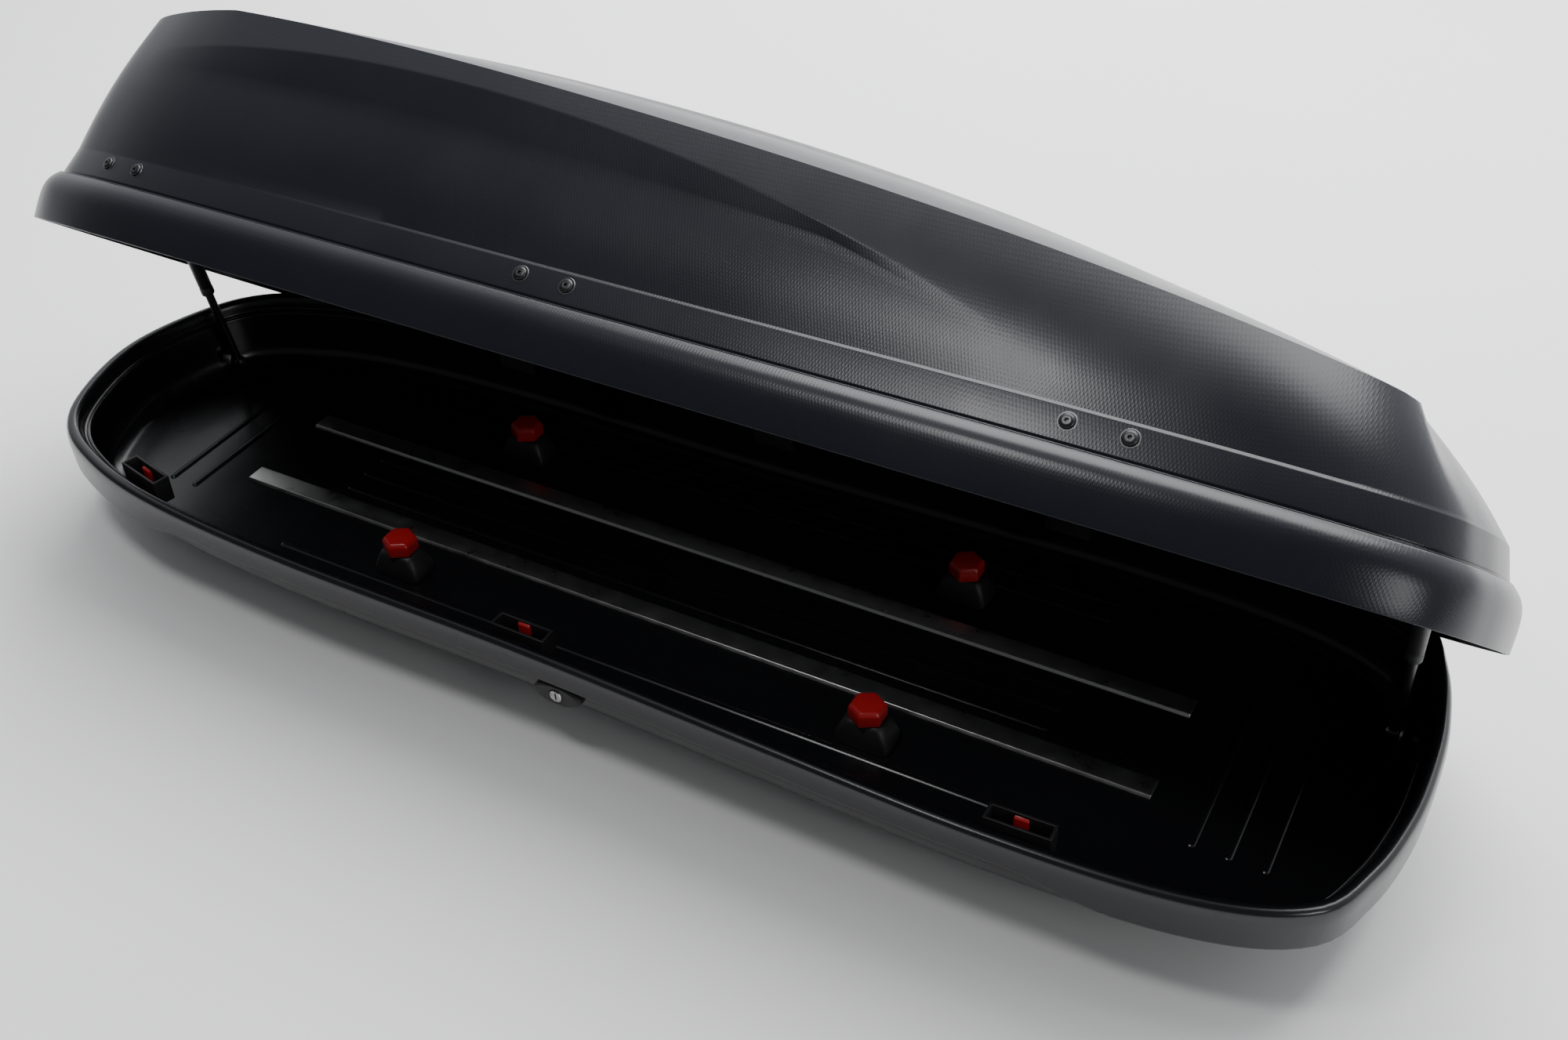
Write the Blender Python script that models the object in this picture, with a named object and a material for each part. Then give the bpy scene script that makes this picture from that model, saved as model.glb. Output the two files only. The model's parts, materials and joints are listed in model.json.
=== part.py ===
"""Slim roof cargo box with the lid propped open on two telescopic stays."""
import bpy
import bmesh
from math import cos, sin, pi, radians, hypot, atan2, copysign
from mathutils import Vector, Matrix

# Overall size: metres, X along the box, -Y the opening side, +Z up, origin under the tray's centre.
LENGTH = 1.90            # lid flange, nose to tail
WIDTH = 0.65             # lid flange, widest place
TRAY_DEPTH = 0.100       # tray underside to rim line
LID_HEIGHT = 0.315       # rim line to the highest point of the roof, lid shut
LID_OPEN = 40.0          # degrees from shut to resting on the extended stays
GAP = 0.0003             # between pieces that touch
SEGMENTS = 56            # stations round the plan outline

# Walls, all insets and offsets measured from the rim line
FLOOR_WALL = 0.004
LID_WALL = 0.003
RIM_OVERHANG = 0.034     # lid flange outside
FLANGE_DROP = 0.028      # lid flange below the rim line, lid shut
FLANGE_TOP = 0.036       # shadow groove above
BAND_TOP = 0.073         # upper edge of the flat band above the groove
BAND_FOOT = 0.0145       # band's lower edge outside
BAND_HEAD = 0.005        # band's upper edge outside
CREASE_INSET = 0.045     # crease between side wall and roof, inside
TAIL_LEAN = 0.052        # extra inset of that crease round the tail
WALL_BULGE = 0.006       # lid's side wall stands proud of a straight line
CREASE_STEP = 0.012      # crease stays at least this far below the roof's crown
SKIRT_SIDE = 0.034       # tray's outer band along the sides
SKIRT_END = 0.054        # tray's outer band round both ends
SKIRT_NEAR_RUN = (0.60, 0.74)    # where the near side's band deepens, shares of the half length
SKIRT_FAR_RUN = (0.93, 0.99)     # the far side's, clear of the open lid's flange
WALL_INSET = 0.012       # outside of the tray wall below its band
LEDGE_INSET = 0.022      # inner ledge under the rim
LEDGE_DROP = 0.028       # foot of that ledge below the rim line
WALL_FOOT_INSET = 0.027  # inside of the tray wall just above the floor
WALL_FOOT_RISE = 0.020   # that place above the underside
NOSE_BULGE = 0.006       # the nose reaches this much further than the tail

# Plan: near half of the rim line, tail to nose, fractions of half the length and half the width
PLAN = [(1.0, 0.0), (0.995, 0.26), (0.974, 0.54), (0.930, 0.775), (0.803, 0.915), (0.572, 0.962),
        (0.275, 0.941), (-0.055, 0.9135), (-0.440, 0.910), (-0.704, 0.853), (-0.858, 0.729),
        (-0.941, 0.570), (-0.987, 0.309), (-1.007, 0.0)]
RIM_HALF_LENGTH = LENGTH / 2 - RIM_OVERHANG - NOSE_BULGE
RIM_HALF_WIDTH = (WIDTH / 2 - RIM_OVERHANG) / max(y for x, y in PLAN)

# Hinges
HINGE_STAND = 0.0032                 # axis outside the back of the narrowest tray leaf
HINGE_RISE = 0.004                   # axis above the rim line
HINGE_X = {"front": -0.4615 * RIM_HALF_LENGTH, "middle": 0.0, "rear": 0.4615 * RIM_HALF_LENGTH}
HINGE_LENGTH = 0.060
PIN_R = 0.0022
PIN_CLEARANCE = 0.0003
KNUCKLE_WALL = 0.0025
KNUCKLE_R = PIN_R + PIN_CLEARANCE + KNUCKLE_WALL
KNUCKLE_GAP = 0.0007     # between the lid's knuckle and the tray's, each end
LEAF = 0.004
LEAF_DROP = 0.046        # tray leaf's foot below the rim line

# Stays
STAY_FOOT = (RIM_HALF_WIDTH - 0.1925, 0.031)     # y and z on the tray
STAY_HEAD = (STAY_FOOT[0] - 0.165, 0.066)        # y, and z from the rim line, on the shut lid
STAY_STANDOFF = {"front": 0.0225, "rear": 0.0110}    # rod's axis from the tray's end wall
STAY_STUD_R = 0.004
STAY_EYE_R = STAY_STUD_R + 0.005
STAY_EYE_HALF = 0.0055
STAY_ROD_R = 0.006
STAY_CLEARANCE = 0.0005
STAY_SLEEVE_WALL = 0.003
STAY_SLEEVE_R = STAY_ROD_R + STAY_CLEARANCE + STAY_SLEEVE_WALL
STAY_SIDE_GAP = 0.0015   # plate beside the rod's eye
STAY_LABEL = 0.034       # length of the coloured label round the sleeve
STAY_PLATE_R = 0.010     # stud plate on the tray
STAY_PAD_R = 0.009       # bracket's pad on the lid

# Catches, lock and lid screws, all along the near side
CATCH_X = {"front": -0.7626 * RIM_HALF_LENGTH, "middle": -0.0709 * RIM_HALF_LENGTH,
           "rear": 0.6099 * RIM_HALF_LENGTH}
CATCH_SIZE = (0.074, 0.0235, 0.036)
CATCH_WALL = 0.0035
CATCH_TOP = -0.006       # housing's top from the rim line
CATCH_SEAT = 0.0005      # housing's back inside the tray wall
TONGUE_SEAT = 0.0100     # lid striker's tongue inside the ledge
TAB_SIZE = (0.016, 0.0045)
SCREW_SPACING = 0.060
SCREW_RISE = 0.060       # above the rim line
SCREW_HEAD_R = 0.0078
SCREW_SHANK_R = 0.003
LOCK_X = 0.0
LOCK_DROP = 0.058        # lock centre below the rim line
LOCK_R = 0.0085
LOCK_CLEARANCE = 0.0005
LOCK_LENS = (0.033, LOCK_R + 0.0065)
LOCK_BAR = (0.003, 0.012)
LOCK_BAR_DROP = 0.0525   # bar's top below the rim line
BAR_INSET = LEDGE_INSET + 0.0162     # outer face of the lock bar and its tabs

# Roof-bar clamps; CLAMP_X is half the spacing of the car's roof bars
CLAMP_X = 0.33
CLAMP_Y = RIM_HALF_WIDTH - 0.1625
CLAMP_SLOT = (0.030, 0.018)
CLAMP_WIDTH = 0.040
CLAMP_CLEARANCE = 0.0005
CLAMP_PLATE = 0.006      # base plate under the tray
CLAMP_SEAT = 0.014       # a roof bar's top face below the tray
CLAMP_REACH = 0.030      # inner face of each claw from the clamp's centre
CLAMP_OUT = 0.045        # outer face of each claw
CLAMP_DEPTH = 0.050      # claw tips below the tray
KNOB_R = 0.023
KNOB_STEM_R = 0.006
COVER_HEIGHT = 0.034
COVER_HALF = (0.034, 0.022)
RAIL_HALF = 0.016        # half the width of a floor rail
RAIL_SHARE = 0.68        # floor rails' share of the length

RIM_Z = TRAY_DEPTH

for old in list(bpy.data.objects):
    bpy.data.objects.remove(old, do_unlink=True)


# Materials ---------------------------------------------------------------------------------

def material(name, colour, roughness, metallic=0.0):
    made = bpy.data.materials.new(name)
    made.use_nodes = True
    shader = made.node_tree.nodes["Principled BSDF"]
    shader.inputs["Base Color"].default_value = (*colour, 1.0)
    shader.inputs["Roughness"].default_value = roughness
    shader.inputs["Metallic"].default_value = metallic
    return made


LID_ABS = material("lid_abs", (0.028, 0.030, 0.036), 0.42)
TRAY_ABS = material("tray_abs", (0.022, 0.023, 0.027), 0.30)
BLACK_NYLON = material("black_nylon", (0.012, 0.012, 0.013), 0.50)
RED_NYLON = material("red_nylon", (0.55, 0.02, 0.03), 0.40)
GREEN_LABEL = material("green_label", (0.10, 0.36, 0.24), 0.55)
STEEL = material("zinc_steel", (0.62, 0.62, 0.60), 0.32, 1.0)
DARK_STEEL = material("dark_steel", (0.10, 0.10, 0.105), 0.38, 1.0)


# Plan outline ------------------------------------------------------------------------------

def spline(points, t):
    """Catmull-Rom point at t, counted in spans, on the mirrored near half."""
    def pick(i):
        if i < 0:
            return Vector((points[-i].x, -points[-i].y))
        if i > len(points) - 1:
            far = points[2 * (len(points) - 1) - i]
            return Vector((far.x, -far.y))
        return points[i]
    i = min(int(t), len(points) - 2)
    f = t - i
    a, b, c, d = pick(i - 1), pick(i), pick(i + 1), pick(i + 2)
    return 0.5 * (2 * b + (c - a) * f + (2 * a - 5 * b + 4 * c - d) * f * f
                  + (3 * b - a - 3 * c + d) * f * f * f)


def near_half(count):
    """Evenly spaced points of the rim line, tail to nose along the near side, with outward normals."""
    points = [Vector((x * RIM_HALF_LENGTH, -y * RIM_HALF_WIDTH)) for x, y in PLAN]
    fine = [spline(points, k * (len(points) - 1) / 1000) for k in range(1001)]
    run = [0.0]
    for a, b in zip(fine, fine[1:]):
        run.append(run[-1] + (b - a).length)
    made = []
    k = 0
    for i in range(count + 1):
        want = run[-1] * i / count
        while run[k + 1] < want and k < 999:
            k += 1
        f = (want - run[k]) / (run[k + 1] - run[k])
        place = fine[k].lerp(fine[k + 1], f)
        way = fine[min(k + 2, 1000)] - fine[max(k - 1, 0)]
        if i in (0, count):
            way = Vector((0.0, -copysign(1.0, place.x)))
        made.append((place, Vector((-way.y, way.x)).normalized()))
    return made


def rim_stations(count=SEGMENTS):
    """The whole rim line as (point, outward normal), anticlockwise from the tail."""
    near = near_half(count // 2)
    far = [(Vector((p.x, -p.y)), Vector((n.x, -n.y))) for p, n in near[1:-1]]
    return near + far[::-1]


STATIONS = rim_stations()
FINE_NEAR = near_half(400)


def rim_at(x):
    """Rim point and outward normal at x on the near side."""
    return min(FINE_NEAR, key=lambda station: abs(station[0].x - x))


def facet_y(x):
    """Distance of the faceted rim line from the box's middle at x, the same on both sides."""
    near = STATIONS[:SEGMENTS // 2 + 1]
    for (a, _), (b, _) in zip(near, near[1:]):
        if b.x <= x <= a.x:
            return abs(a.y + (b.y - a.y) * (a.x - x) / (a.x - b.x))
    return 0.0


def rim_inner_y(x, half):
    """Narrowest place of the faceted rim line within half of x."""
    return min(facet_y(x + k * half / 4) for k in range(-4, 5))


def near_sag(x, half):
    """How far the faceted rim line lies inside its tangent at x, within half of x."""
    point, normal = rim_at(x)
    places = [x + k * half / 4 for k in range(-4, 5)]
    return max(-(Vector((p, -facet_y(p))) - point).dot(normal) for p in places)


def end_face_x(y, side, inset):
    """x where an end wall's face, this far inside the rim line, crosses y."""
    loop = [point - normal * inset for point, normal in STATIONS]
    found = []
    for a, b in zip(loop, loop[1:] + loop[:1]):
        if (a.y - y) * (b.y - y) <= 0 and a.y != b.y:
            found.append(a.x + (b.x - a.x) * (y - a.y) / (b.y - a.y))
    return max(found, key=lambda x: x * side)


def end_seat_x(y, half, side, inset):
    """Like end_face_x, for a flat piece that reaches half to each side of y."""
    return min((end_face_x(y + k * half, side, inset) for k in (-1, 1)), key=lambda x: x * side)


def tray_inset(z):
    """How far the tray's inner wall is inside the rim line at a height measured from that line."""
    low = WALL_FOOT_RISE - TRAY_DEPTH
    share = (-LEDGE_DROP - z) / (-LEDGE_DROP - low)
    return LEDGE_INSET + (WALL_FOOT_INSET - LEDGE_INSET) * share


# Lid section -------------------------------------------------------------------------------

ROOF_PEAK_X = -0.1248 * LENGTH
ROOF_TAIL_SHARE = 0.517      # the crown falls by this share of its height, peak to tail
ROOF_FALL = ROOF_TAIL_SHARE * LID_HEIGHT / (RIM_HALF_LENGTH - ROOF_PEAK_X) ** 2
CREASE_START_X = -0.326 * LENGTH
CREASE_SHARE = 0.90          # crease's greatest height as a share of the crown's
CREASE_FALL = 0.452          # how fast the crease falls compared with the crown
RIDGE_DRAW_IN = 0.3          # the ridge line is this much shorter than the roof's outline
BAND_STEP = (0.002, 0.003)   # side wall starts this far inside and above the band's head


def roof_z(x):
    """Height of the roof's crown above the rim line."""
    return LID_HEIGHT - ROOF_FALL * (x - ROOF_PEAK_X) ** 2


def crease_z(x):
    """Height of the crease between side wall and roof."""
    drop = ROOF_FALL * CREASE_FALL * (x - CREASE_START_X) ** 2
    return min(LID_HEIGHT * CREASE_SHARE - drop, roof_z(x) - CREASE_STEP)


def crease_inset(normal):
    return CREASE_INSET + TAIL_LEAN * max(0.0, normal.x) ** 2


def band_offset(z):
    """How far the band's outer face is outside the rim line at height z."""
    return BAND_FOOT + (BAND_HEAD - BAND_FOOT) * (z - FLANGE_TOP) / (BAND_TOP - FLANGE_TOP)


def ring(place):
    """One closed loop: place(point, normal) gives offset and z at each station."""
    made = []
    for point, normal in STATIONS:
        offset, z = place(point, normal)
        moved = point + normal * offset
        made.append(Vector((moved.x, moved.y, RIM_Z + z)))
    return made


def flat_ring(offset, z):
    return ring(lambda p, n: (offset, z))


def wall_ring(share, skin):
    """Side wall between the band's head and the crease, bulging a little outward."""
    def place(p, n):
        inset = crease_inset(n)
        inner = p - n * inset
        top = crease_z(inner.x)
        start = BAND_HEAD - BAND_STEP[0]
        foot = BAND_TOP + BAND_STEP[1]
        offset = start + (-inset - start) * share + WALL_BULGE * sin(pi * share)
        return offset - skin, foot + (top - foot) * share - skin * 0.3
    return ring(place)


def roof_ring(share, skin):
    """Roof between the crease and the ridge line."""
    made = []
    for point, normal in STATIONS:
        edge = point - normal * (crease_inset(normal) + skin)
        z_edge = crease_z(edge.x)
        x = edge.x * (1.0 - RIDGE_DRAW_IN * share)
        z = roof_z(x) - (roof_z(edge.x) - z_edge) * (1.0 - share) ** 2
        made.append(Vector((x, edge.y * (1.0 - share), RIM_Z + z - skin)))
    return made


# Mesh tools --------------------------------------------------------------------------------

def add_object(name, bm, paint, smooth=40.0):
    bmesh.ops.recalc_face_normals(bm, faces=bm.faces)
    if bm.calc_volume(signed=True) < 0:
        bmesh.ops.reverse_faces(bm, faces=bm.faces)
    mesh = bpy.data.meshes.new(name)
    bm.to_mesh(mesh)
    bm.free()
    mesh.materials.append(paint)
    mesh.shade_smooth()
    mesh.set_sharp_from_angle(angle=radians(smooth))
    made = bpy.data.objects.new(name, mesh)
    bpy.context.collection.objects.link(made)
    return made


def loft(name, rings, paint, closed=False, ridge_cap=False):
    """Skin equal rings; the ends get caps unless the loft is closed on itself."""
    bm = bmesh.new()
    loops = [[bm.verts.new(p) for p in points] for points in rings]
    count = len(rings[0])
    pairs = list(zip(loops, loops[1:])) + ([(loops[-1], loops[0])] if closed else [])
    for low, high in pairs:
        for i in range(count):
            j = (i + 1) % count
            bm.faces.new((low[i], low[j], high[j], high[i]))
    if not closed:
        for end in (loops[0], loops[-1]):
            if ridge_cap:
                ridge_faces(bm, end)
            else:
                bm.faces.new(end)
    return add_object(name, bm, paint)


def ridge_faces(bm, loop):
    """Close a long symmetric loop with strips across it."""
    count = len(loop)
    half = count // 2
    bm.faces.new((loop[0], loop[1], loop[count - 1]))
    for i in range(1, half - 1):
        bm.faces.new((loop[i], loop[i + 1], loop[count - i - 1], loop[count - i]))
    bm.faces.new((loop[half - 1], loop[half], loop[half + 1]))


def prism(name, outline, half, paint, matrix=Matrix.Identity(4)):
    """Extrude an outline of (a, b) in local YZ by half to each side along local X."""
    rings = [[matrix @ Vector((side * half, a, b)) for a, b in outline] for side in (-1, 1)]
    return loft(name, rings, paint)


def turned(name, profile, paint, matrix=Matrix.Identity(4), sides=20, closed=False):
    """Rings of (radius, height) round local Z."""
    rings = [[matrix @ p for p in circle(r, h, sides, 0.0)] for r, h in profile]
    return loft(name, rings, paint, closed=closed)


def rounded(half_x, half_y, radius, z, sides=16):
    """Rounded rectangle with the same number of points as a circle, so both can be lofted."""
    made = []
    for k in range(sides):
        angle = 2 * pi * (k + 0.5) / sides
        cx = copysign(half_x - radius, cos(angle))
        cy = copysign(half_y - radius, sin(angle))
        made.append(Vector((cx + radius * cos(angle), cy + radius * sin(angle), z)))
    return made


def circle(radius, z, sides=16, start=0.5):
    """Points round local Z, start being the first one's angle in steps."""
    angles = [2 * pi * (k + start) / sides for k in range(sides)]
    return [Vector((radius * cos(a), radius * sin(a), z)) for a in angles]


def cylinder_between(name, a, b, radius, paint, sides=20):
    way = Vector(b) - Vector(a)
    turn = way.to_track_quat("Z", "Y").to_matrix().to_4x4()
    return turned(name, [(radius, 0.0), (radius, way.length)], paint, Matrix.Translation(a) @ turn, sides)


def boolean(target, tool, operation):
    """The tool stays as a hidden guide."""
    tool.hide_render = True
    tool.display_type = "WIRE"
    tool.parent = target.parent
    modifier = target.modifiers.new(operation.lower() + "_" + tool.name, "BOOLEAN")
    modifier.operation = operation
    modifier.object = tool
    modifier.solver = "EXACT"


# Tray --------------------------------------------------------------------------------------

def skirt_drop(point):
    """The outer band deepens smoothly towards both ends."""
    shares = SKIRT_FAR_RUN if point.y > 0 else SKIRT_NEAR_RUN
    start, full = [share * RIM_HALF_LENGTH for share in shares]
    f = min(1.0, max(0.0, (abs(point.x) - start) / (full - start)))
    return SKIRT_SIDE + (SKIRT_END - SKIRT_SIDE) * f * f * (3 - 2 * f)


def build_tray():
    under = -TRAY_DEPTH
    outer = [flat_ring(-0.072, under), flat_ring(-0.040, under + 0.004),
             flat_ring(-0.021, under + 0.016), flat_ring(-WALL_INSET, under + 0.040),
             ring(lambda p, n: (-WALL_INSET + 0.003, -skirt_drop(p))),
             ring(lambda p, n: (0.006, -skirt_drop(p))),
             flat_ring(0.008, -0.012), flat_ring(0.005, -0.002), flat_ring(-0.001, 0.002),
             flat_ring(-0.008, -0.001)]
    inner = [flat_ring(-0.011, -0.008), flat_ring(-0.013, -0.018), flat_ring(-LEDGE_INSET + 0.001, -0.020),
             flat_ring(-LEDGE_INSET, -LEDGE_DROP), flat_ring(-WALL_FOOT_INSET, under + WALL_FOOT_RISE),
             flat_ring(-0.040, under + FLOOR_WALL + 0.004), flat_ring(-0.070, under + FLOOR_WALL)]
    tray = loft("tray_shell", outer + inner, TRAY_ABS)
    for sx in (-1, 1):
        for sy in (-1, 1):
            hole = [[p + Vector((sx * CLAMP_X, sy * CLAMP_Y, 0))
                     for p in rounded(CLAMP_SLOT[0] / 2, CLAMP_SLOT[1] / 2, 0.004, z)]
                    for z in (-0.01, 0.02)]
            boolean(tray, loft("slot_cutter", hole, TRAY_ABS), "DIFFERENCE")
    centre = lock_centre()
    bore = cylinder_between("lock_bore_cutter", centre + Vector((0, -0.03, 0)), centre + Vector((0, 0.05, 0)),
                            LOCK_R + 2 * LOCK_CLEARANCE, TRAY_ABS)
    boolean(tray, bore, "DIFFERENCE")
    return tray


# Lid ---------------------------------------------------------------------------------------

def leaf_back_y(x):
    """Face of a tray leaf that lies against the far wall."""
    return rim_inner_y(x, HINGE_LENGTH / 2) - tray_inset(-LEAF_DROP) - 2 * GAP


def hinge_axis():
    """Point on the lid's hinge axis at x = 0; the axis runs along X."""
    backs = [leaf_back_y(x) for x in HINGE_X.values()]
    return Vector((0.0, min(backs) + HINGE_STAND, RIM_Z + HINGE_RISE))


def build_lid(pivot):
    outer = [flat_ring(RIM_OVERHANG, -FLANGE_DROP), flat_ring(RIM_OVERHANG + 0.001, 0.0),
             flat_ring(RIM_OVERHANG - 0.004, FLANGE_TOP - 0.010), flat_ring(RIM_OVERHANG - 0.013, FLANGE_TOP),
             flat_ring(BAND_FOOT, FLANGE_TOP + 0.001), flat_ring(BAND_HEAD, BAND_TOP),
             wall_ring(0.5, 0.0), wall_ring(1.0, 0.0),
             roof_ring(0.15, 0.0), roof_ring(0.45, 0.0), roof_ring(0.8, 0.0)]
    w = LID_WALL
    inner = [flat_ring(RIM_OVERHANG - w, -FLANGE_DROP), flat_ring(RIM_OVERHANG + 0.001 - w, -0.001),
             flat_ring(RIM_OVERHANG - 0.006 - w, FLANGE_TOP - 0.012),
             flat_ring(RIM_OVERHANG - 0.015 - w, FLANGE_TOP - w),
             flat_ring(BAND_FOOT - w, FLANGE_TOP + 0.001 - w * 0.5), flat_ring(BAND_HEAD - w, BAND_TOP),
             wall_ring(0.5, w), wall_ring(0.985, w),
             roof_ring(0.15, w), roof_ring(0.45, w), roof_ring(0.8, w)]
    lid = loft("lid_shell", inner[::-1] + outer, LID_ABS, ridge_cap=True)
    lid.parent = pivot
    return lid


# Near-side stations ------------------------------------------------------------------------

def near_frame(x, offset, z):
    """Local X along the near rim line, local Y inward, local Z up, at an offset outside the rim."""
    point, normal = rim_at(x)
    along = Vector((-normal.y, normal.x, 0.0))
    if along.x < 0:
        along = -along
    origin = Vector((point.x + normal.x * offset, point.y + normal.y * offset, RIM_Z + z))
    inward = Vector((-normal.x, -normal.y, 0.0))
    turn = Matrix((along, inward, Vector((0, 0, 1)))).transposed().to_4x4()
    return Matrix.Translation(origin) @ turn


def lock_centre():
    point, normal = rim_at(LOCK_X)
    return Vector((LOCK_X, point.y + WALL_INSET, RIM_Z - LOCK_DROP))


def build_screw(name, x, lid, pivot):
    """Dome head on the band with its shank through the lid wall; local Z points out of the lid."""
    place = near_frame(x, band_offset(SCREW_RISE), SCREW_RISE)
    slope = atan2(BAND_FOOT - BAND_HEAD, BAND_TOP - FLANGE_TOP)
    matrix = place @ Matrix.Rotation(pi / 2 - slope, 4, "X")
    head = [(SCREW_SHANK_R, -LID_WALL), (SCREW_SHANK_R, 0.0005), (SCREW_HEAD_R, 0.0005),
            (SCREW_HEAD_R, 0.0018), (SCREW_HEAD_R * 0.72, 0.0038), (0.0026, 0.0045), (0.0022, 0.0020)]
    screw = turned(name, head, DARK_STEEL, matrix, sides=14)
    screw.parent = pivot
    bore = turned(name + "_cutter", [(SCREW_SHANK_R + GAP, -0.012), (SCREW_SHANK_R + GAP, 0.012)],
                  DARK_STEEL, matrix, sides=10)
    boolean(lid, bore, "DIFFERENCE")


def build_striker(name, x, pivot):
    """Bracket inside the lid: a pad against the band, an arm inward and a tongue down to the catch."""
    half = SCREW_SPACING / 2 - 0.0015
    tongue = LEDGE_INSET + TONGUE_SEAT
    skin = LID_WALL + 2 * GAP + near_sag(x, half)
    low, high = FLANGE_TOP + 0.010, BAND_TOP - 0.002
    outline = [(skin - band_offset(low), low), (skin - band_offset(high), high),
               (skin - band_offset(high) + LEAF, high), (skin - band_offset(low) + LEAF + 0.002, low + 0.006),
               (tongue + LEAF, low - 0.006), (tongue + LEAF, -0.024), (tongue, -0.026),
               (tongue, low - 0.010), (skin - band_offset(low) + 0.001, low - 0.001)]
    made = prism(name, outline, half, BLACK_NYLON, near_frame(x, 0.0, 0.0))
    made.parent = pivot


def build_catch(where, x):
    """Open-topped housing on the tray's inner wall; the red tab rides on the lock bar inside it."""
    long, deep, tall = CATCH_SIZE
    back = tray_inset(CATCH_TOP - tall) + CATCH_SEAT + near_sag(x, long / 2)
    wall = CATCH_WALL
    place = near_frame(x, 0.0, 0.0)
    top, low = CATCH_TOP, CATCH_TOP - tall
    outer = [(-long / 2, back), (long / 2, back), (long / 2, back + deep), (-long / 2, back + deep)]
    inner = [(-long / 2 + wall, back + wall), (long / 2 - wall, back + wall),
             (long / 2 - wall, back + deep - wall), (-long / 2 + wall, back + deep - wall)]

    def at(points, z):
        return [place @ Vector((a, b, z)) for a, b in points]
    loft("catch_housing_" + where, [at(outer, low), at(outer, top), at(inner, top), at(inner, low)],
         BLACK_NYLON, closed=True)
    foot = GAP + 0.0002 - LOCK_BAR_DROP
    tab_back, tab_front = BAR_INSET, BAR_INSET + TAB_SIZE[1]
    outline = [(tab_back, foot), (tab_front, foot), (tab_front, top - 0.004),
               (tab_front - 0.0015, top + 0.0005), (tab_back, top - 0.002)]
    prism("catch_tab_" + where, outline, TAB_SIZE[0] / 2, RED_NYLON, place)


def build_lock_bar():
    """Flat strip that follows the near wall past all three catches, under the red tabs."""
    start, end = CATCH_X["front"] - 0.03, CATCH_X["rear"] + 0.03
    steps = 24
    thick, tall = LOCK_BAR
    rings = []
    for k in range(steps + 1):
        place = near_frame(start + (end - start) * k / steps, -BAR_INSET, -LOCK_BAR_DROP)
        rings.append([place @ Vector((0, a, b)) for a, b in
                      ((0, -tall), (thick, -tall), (thick, 0), (0, 0))])
    loft("lock_bar", rings, STEEL)


def build_lock():
    """Lens-shaped escutcheon outside, key cylinder through the wall, cam lever inside."""
    centre = lock_centre()
    face = Matrix.Translation(centre) @ Matrix.Rotation(pi / 2, 4, "X")
    sides = 24

    def lens(scale, h):
        made = []
        for k in range(sides):
            angle = 2 * pi * k / sides
            x = LOCK_LENS[0] * scale * copysign(abs(cos(angle)) ** 0.9, cos(angle))
            y = LOCK_LENS[1] * scale * copysign(abs(sin(angle)) ** 1.25, sin(angle))
            made.append(face @ Vector((x, y, h)))
        return made

    def hole(radius, h, count=sides):
        return [face @ p for p in circle(radius, h, count, 0.0)]
    back = 0.0038                        # the wall's outer face, where it is furthest out
    bore = LOCK_R + LOCK_CLEARANCE
    loft("lock_escutcheon", [lens(1.0, back), lens(1.0, back + 0.004), lens(0.86, back + 0.0075),
                             hole(bore, back + 0.0075), hole(bore, back)], BLACK_NYLON, closed=True)
    tail = LOCK_R / 2
    cylinder = [(tail, -0.0215), (tail, -0.0155), (LOCK_R, -0.0155), (LOCK_R, back + 0.0078),
                (LOCK_R * 0.86, back + 0.0092), (0.0030, back + 0.0092), (0.0024, back + 0.0062)]
    turned("lock_cylinder", cylinder, STEEL, face, sides=24)
    cam = (-0.0192, -0.0162)             # its two faces, along the lock's axis
    arm = [[face @ Vector((a, b, h)) for a, b in lever_outline()] for h in cam]
    hub = [hole(tail + GAP, h, 16) for h in cam]
    loft("lock_cam", [arm[0], arm[1], hub[1], hub[0]], DARK_STEEL, closed=True)


def lever_outline():
    """Sixteen points: a round hub that runs up into a short lever."""
    made = []
    for k in range(16):
        angle = 2 * pi * k / 16
        lever = sin(angle) > 0.75
        reach = LOCK_R + 0.004 if lever else LOCK_R - 0.001
        made.append((reach * cos(angle) * (0.7 if lever else 1.0), reach * sin(angle)))
    return made


# Hinges ------------------------------------------------------------------------------------

def knuckle_arc(centre, start, end, steps=10):
    angles = [radians(start + (end - start) * k / steps) for k in range(steps + 1)]
    return [(centre[0] + KNUCKLE_R * cos(a), centre[1] + KNUCKLE_R * sin(a)) for a in angles]


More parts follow.
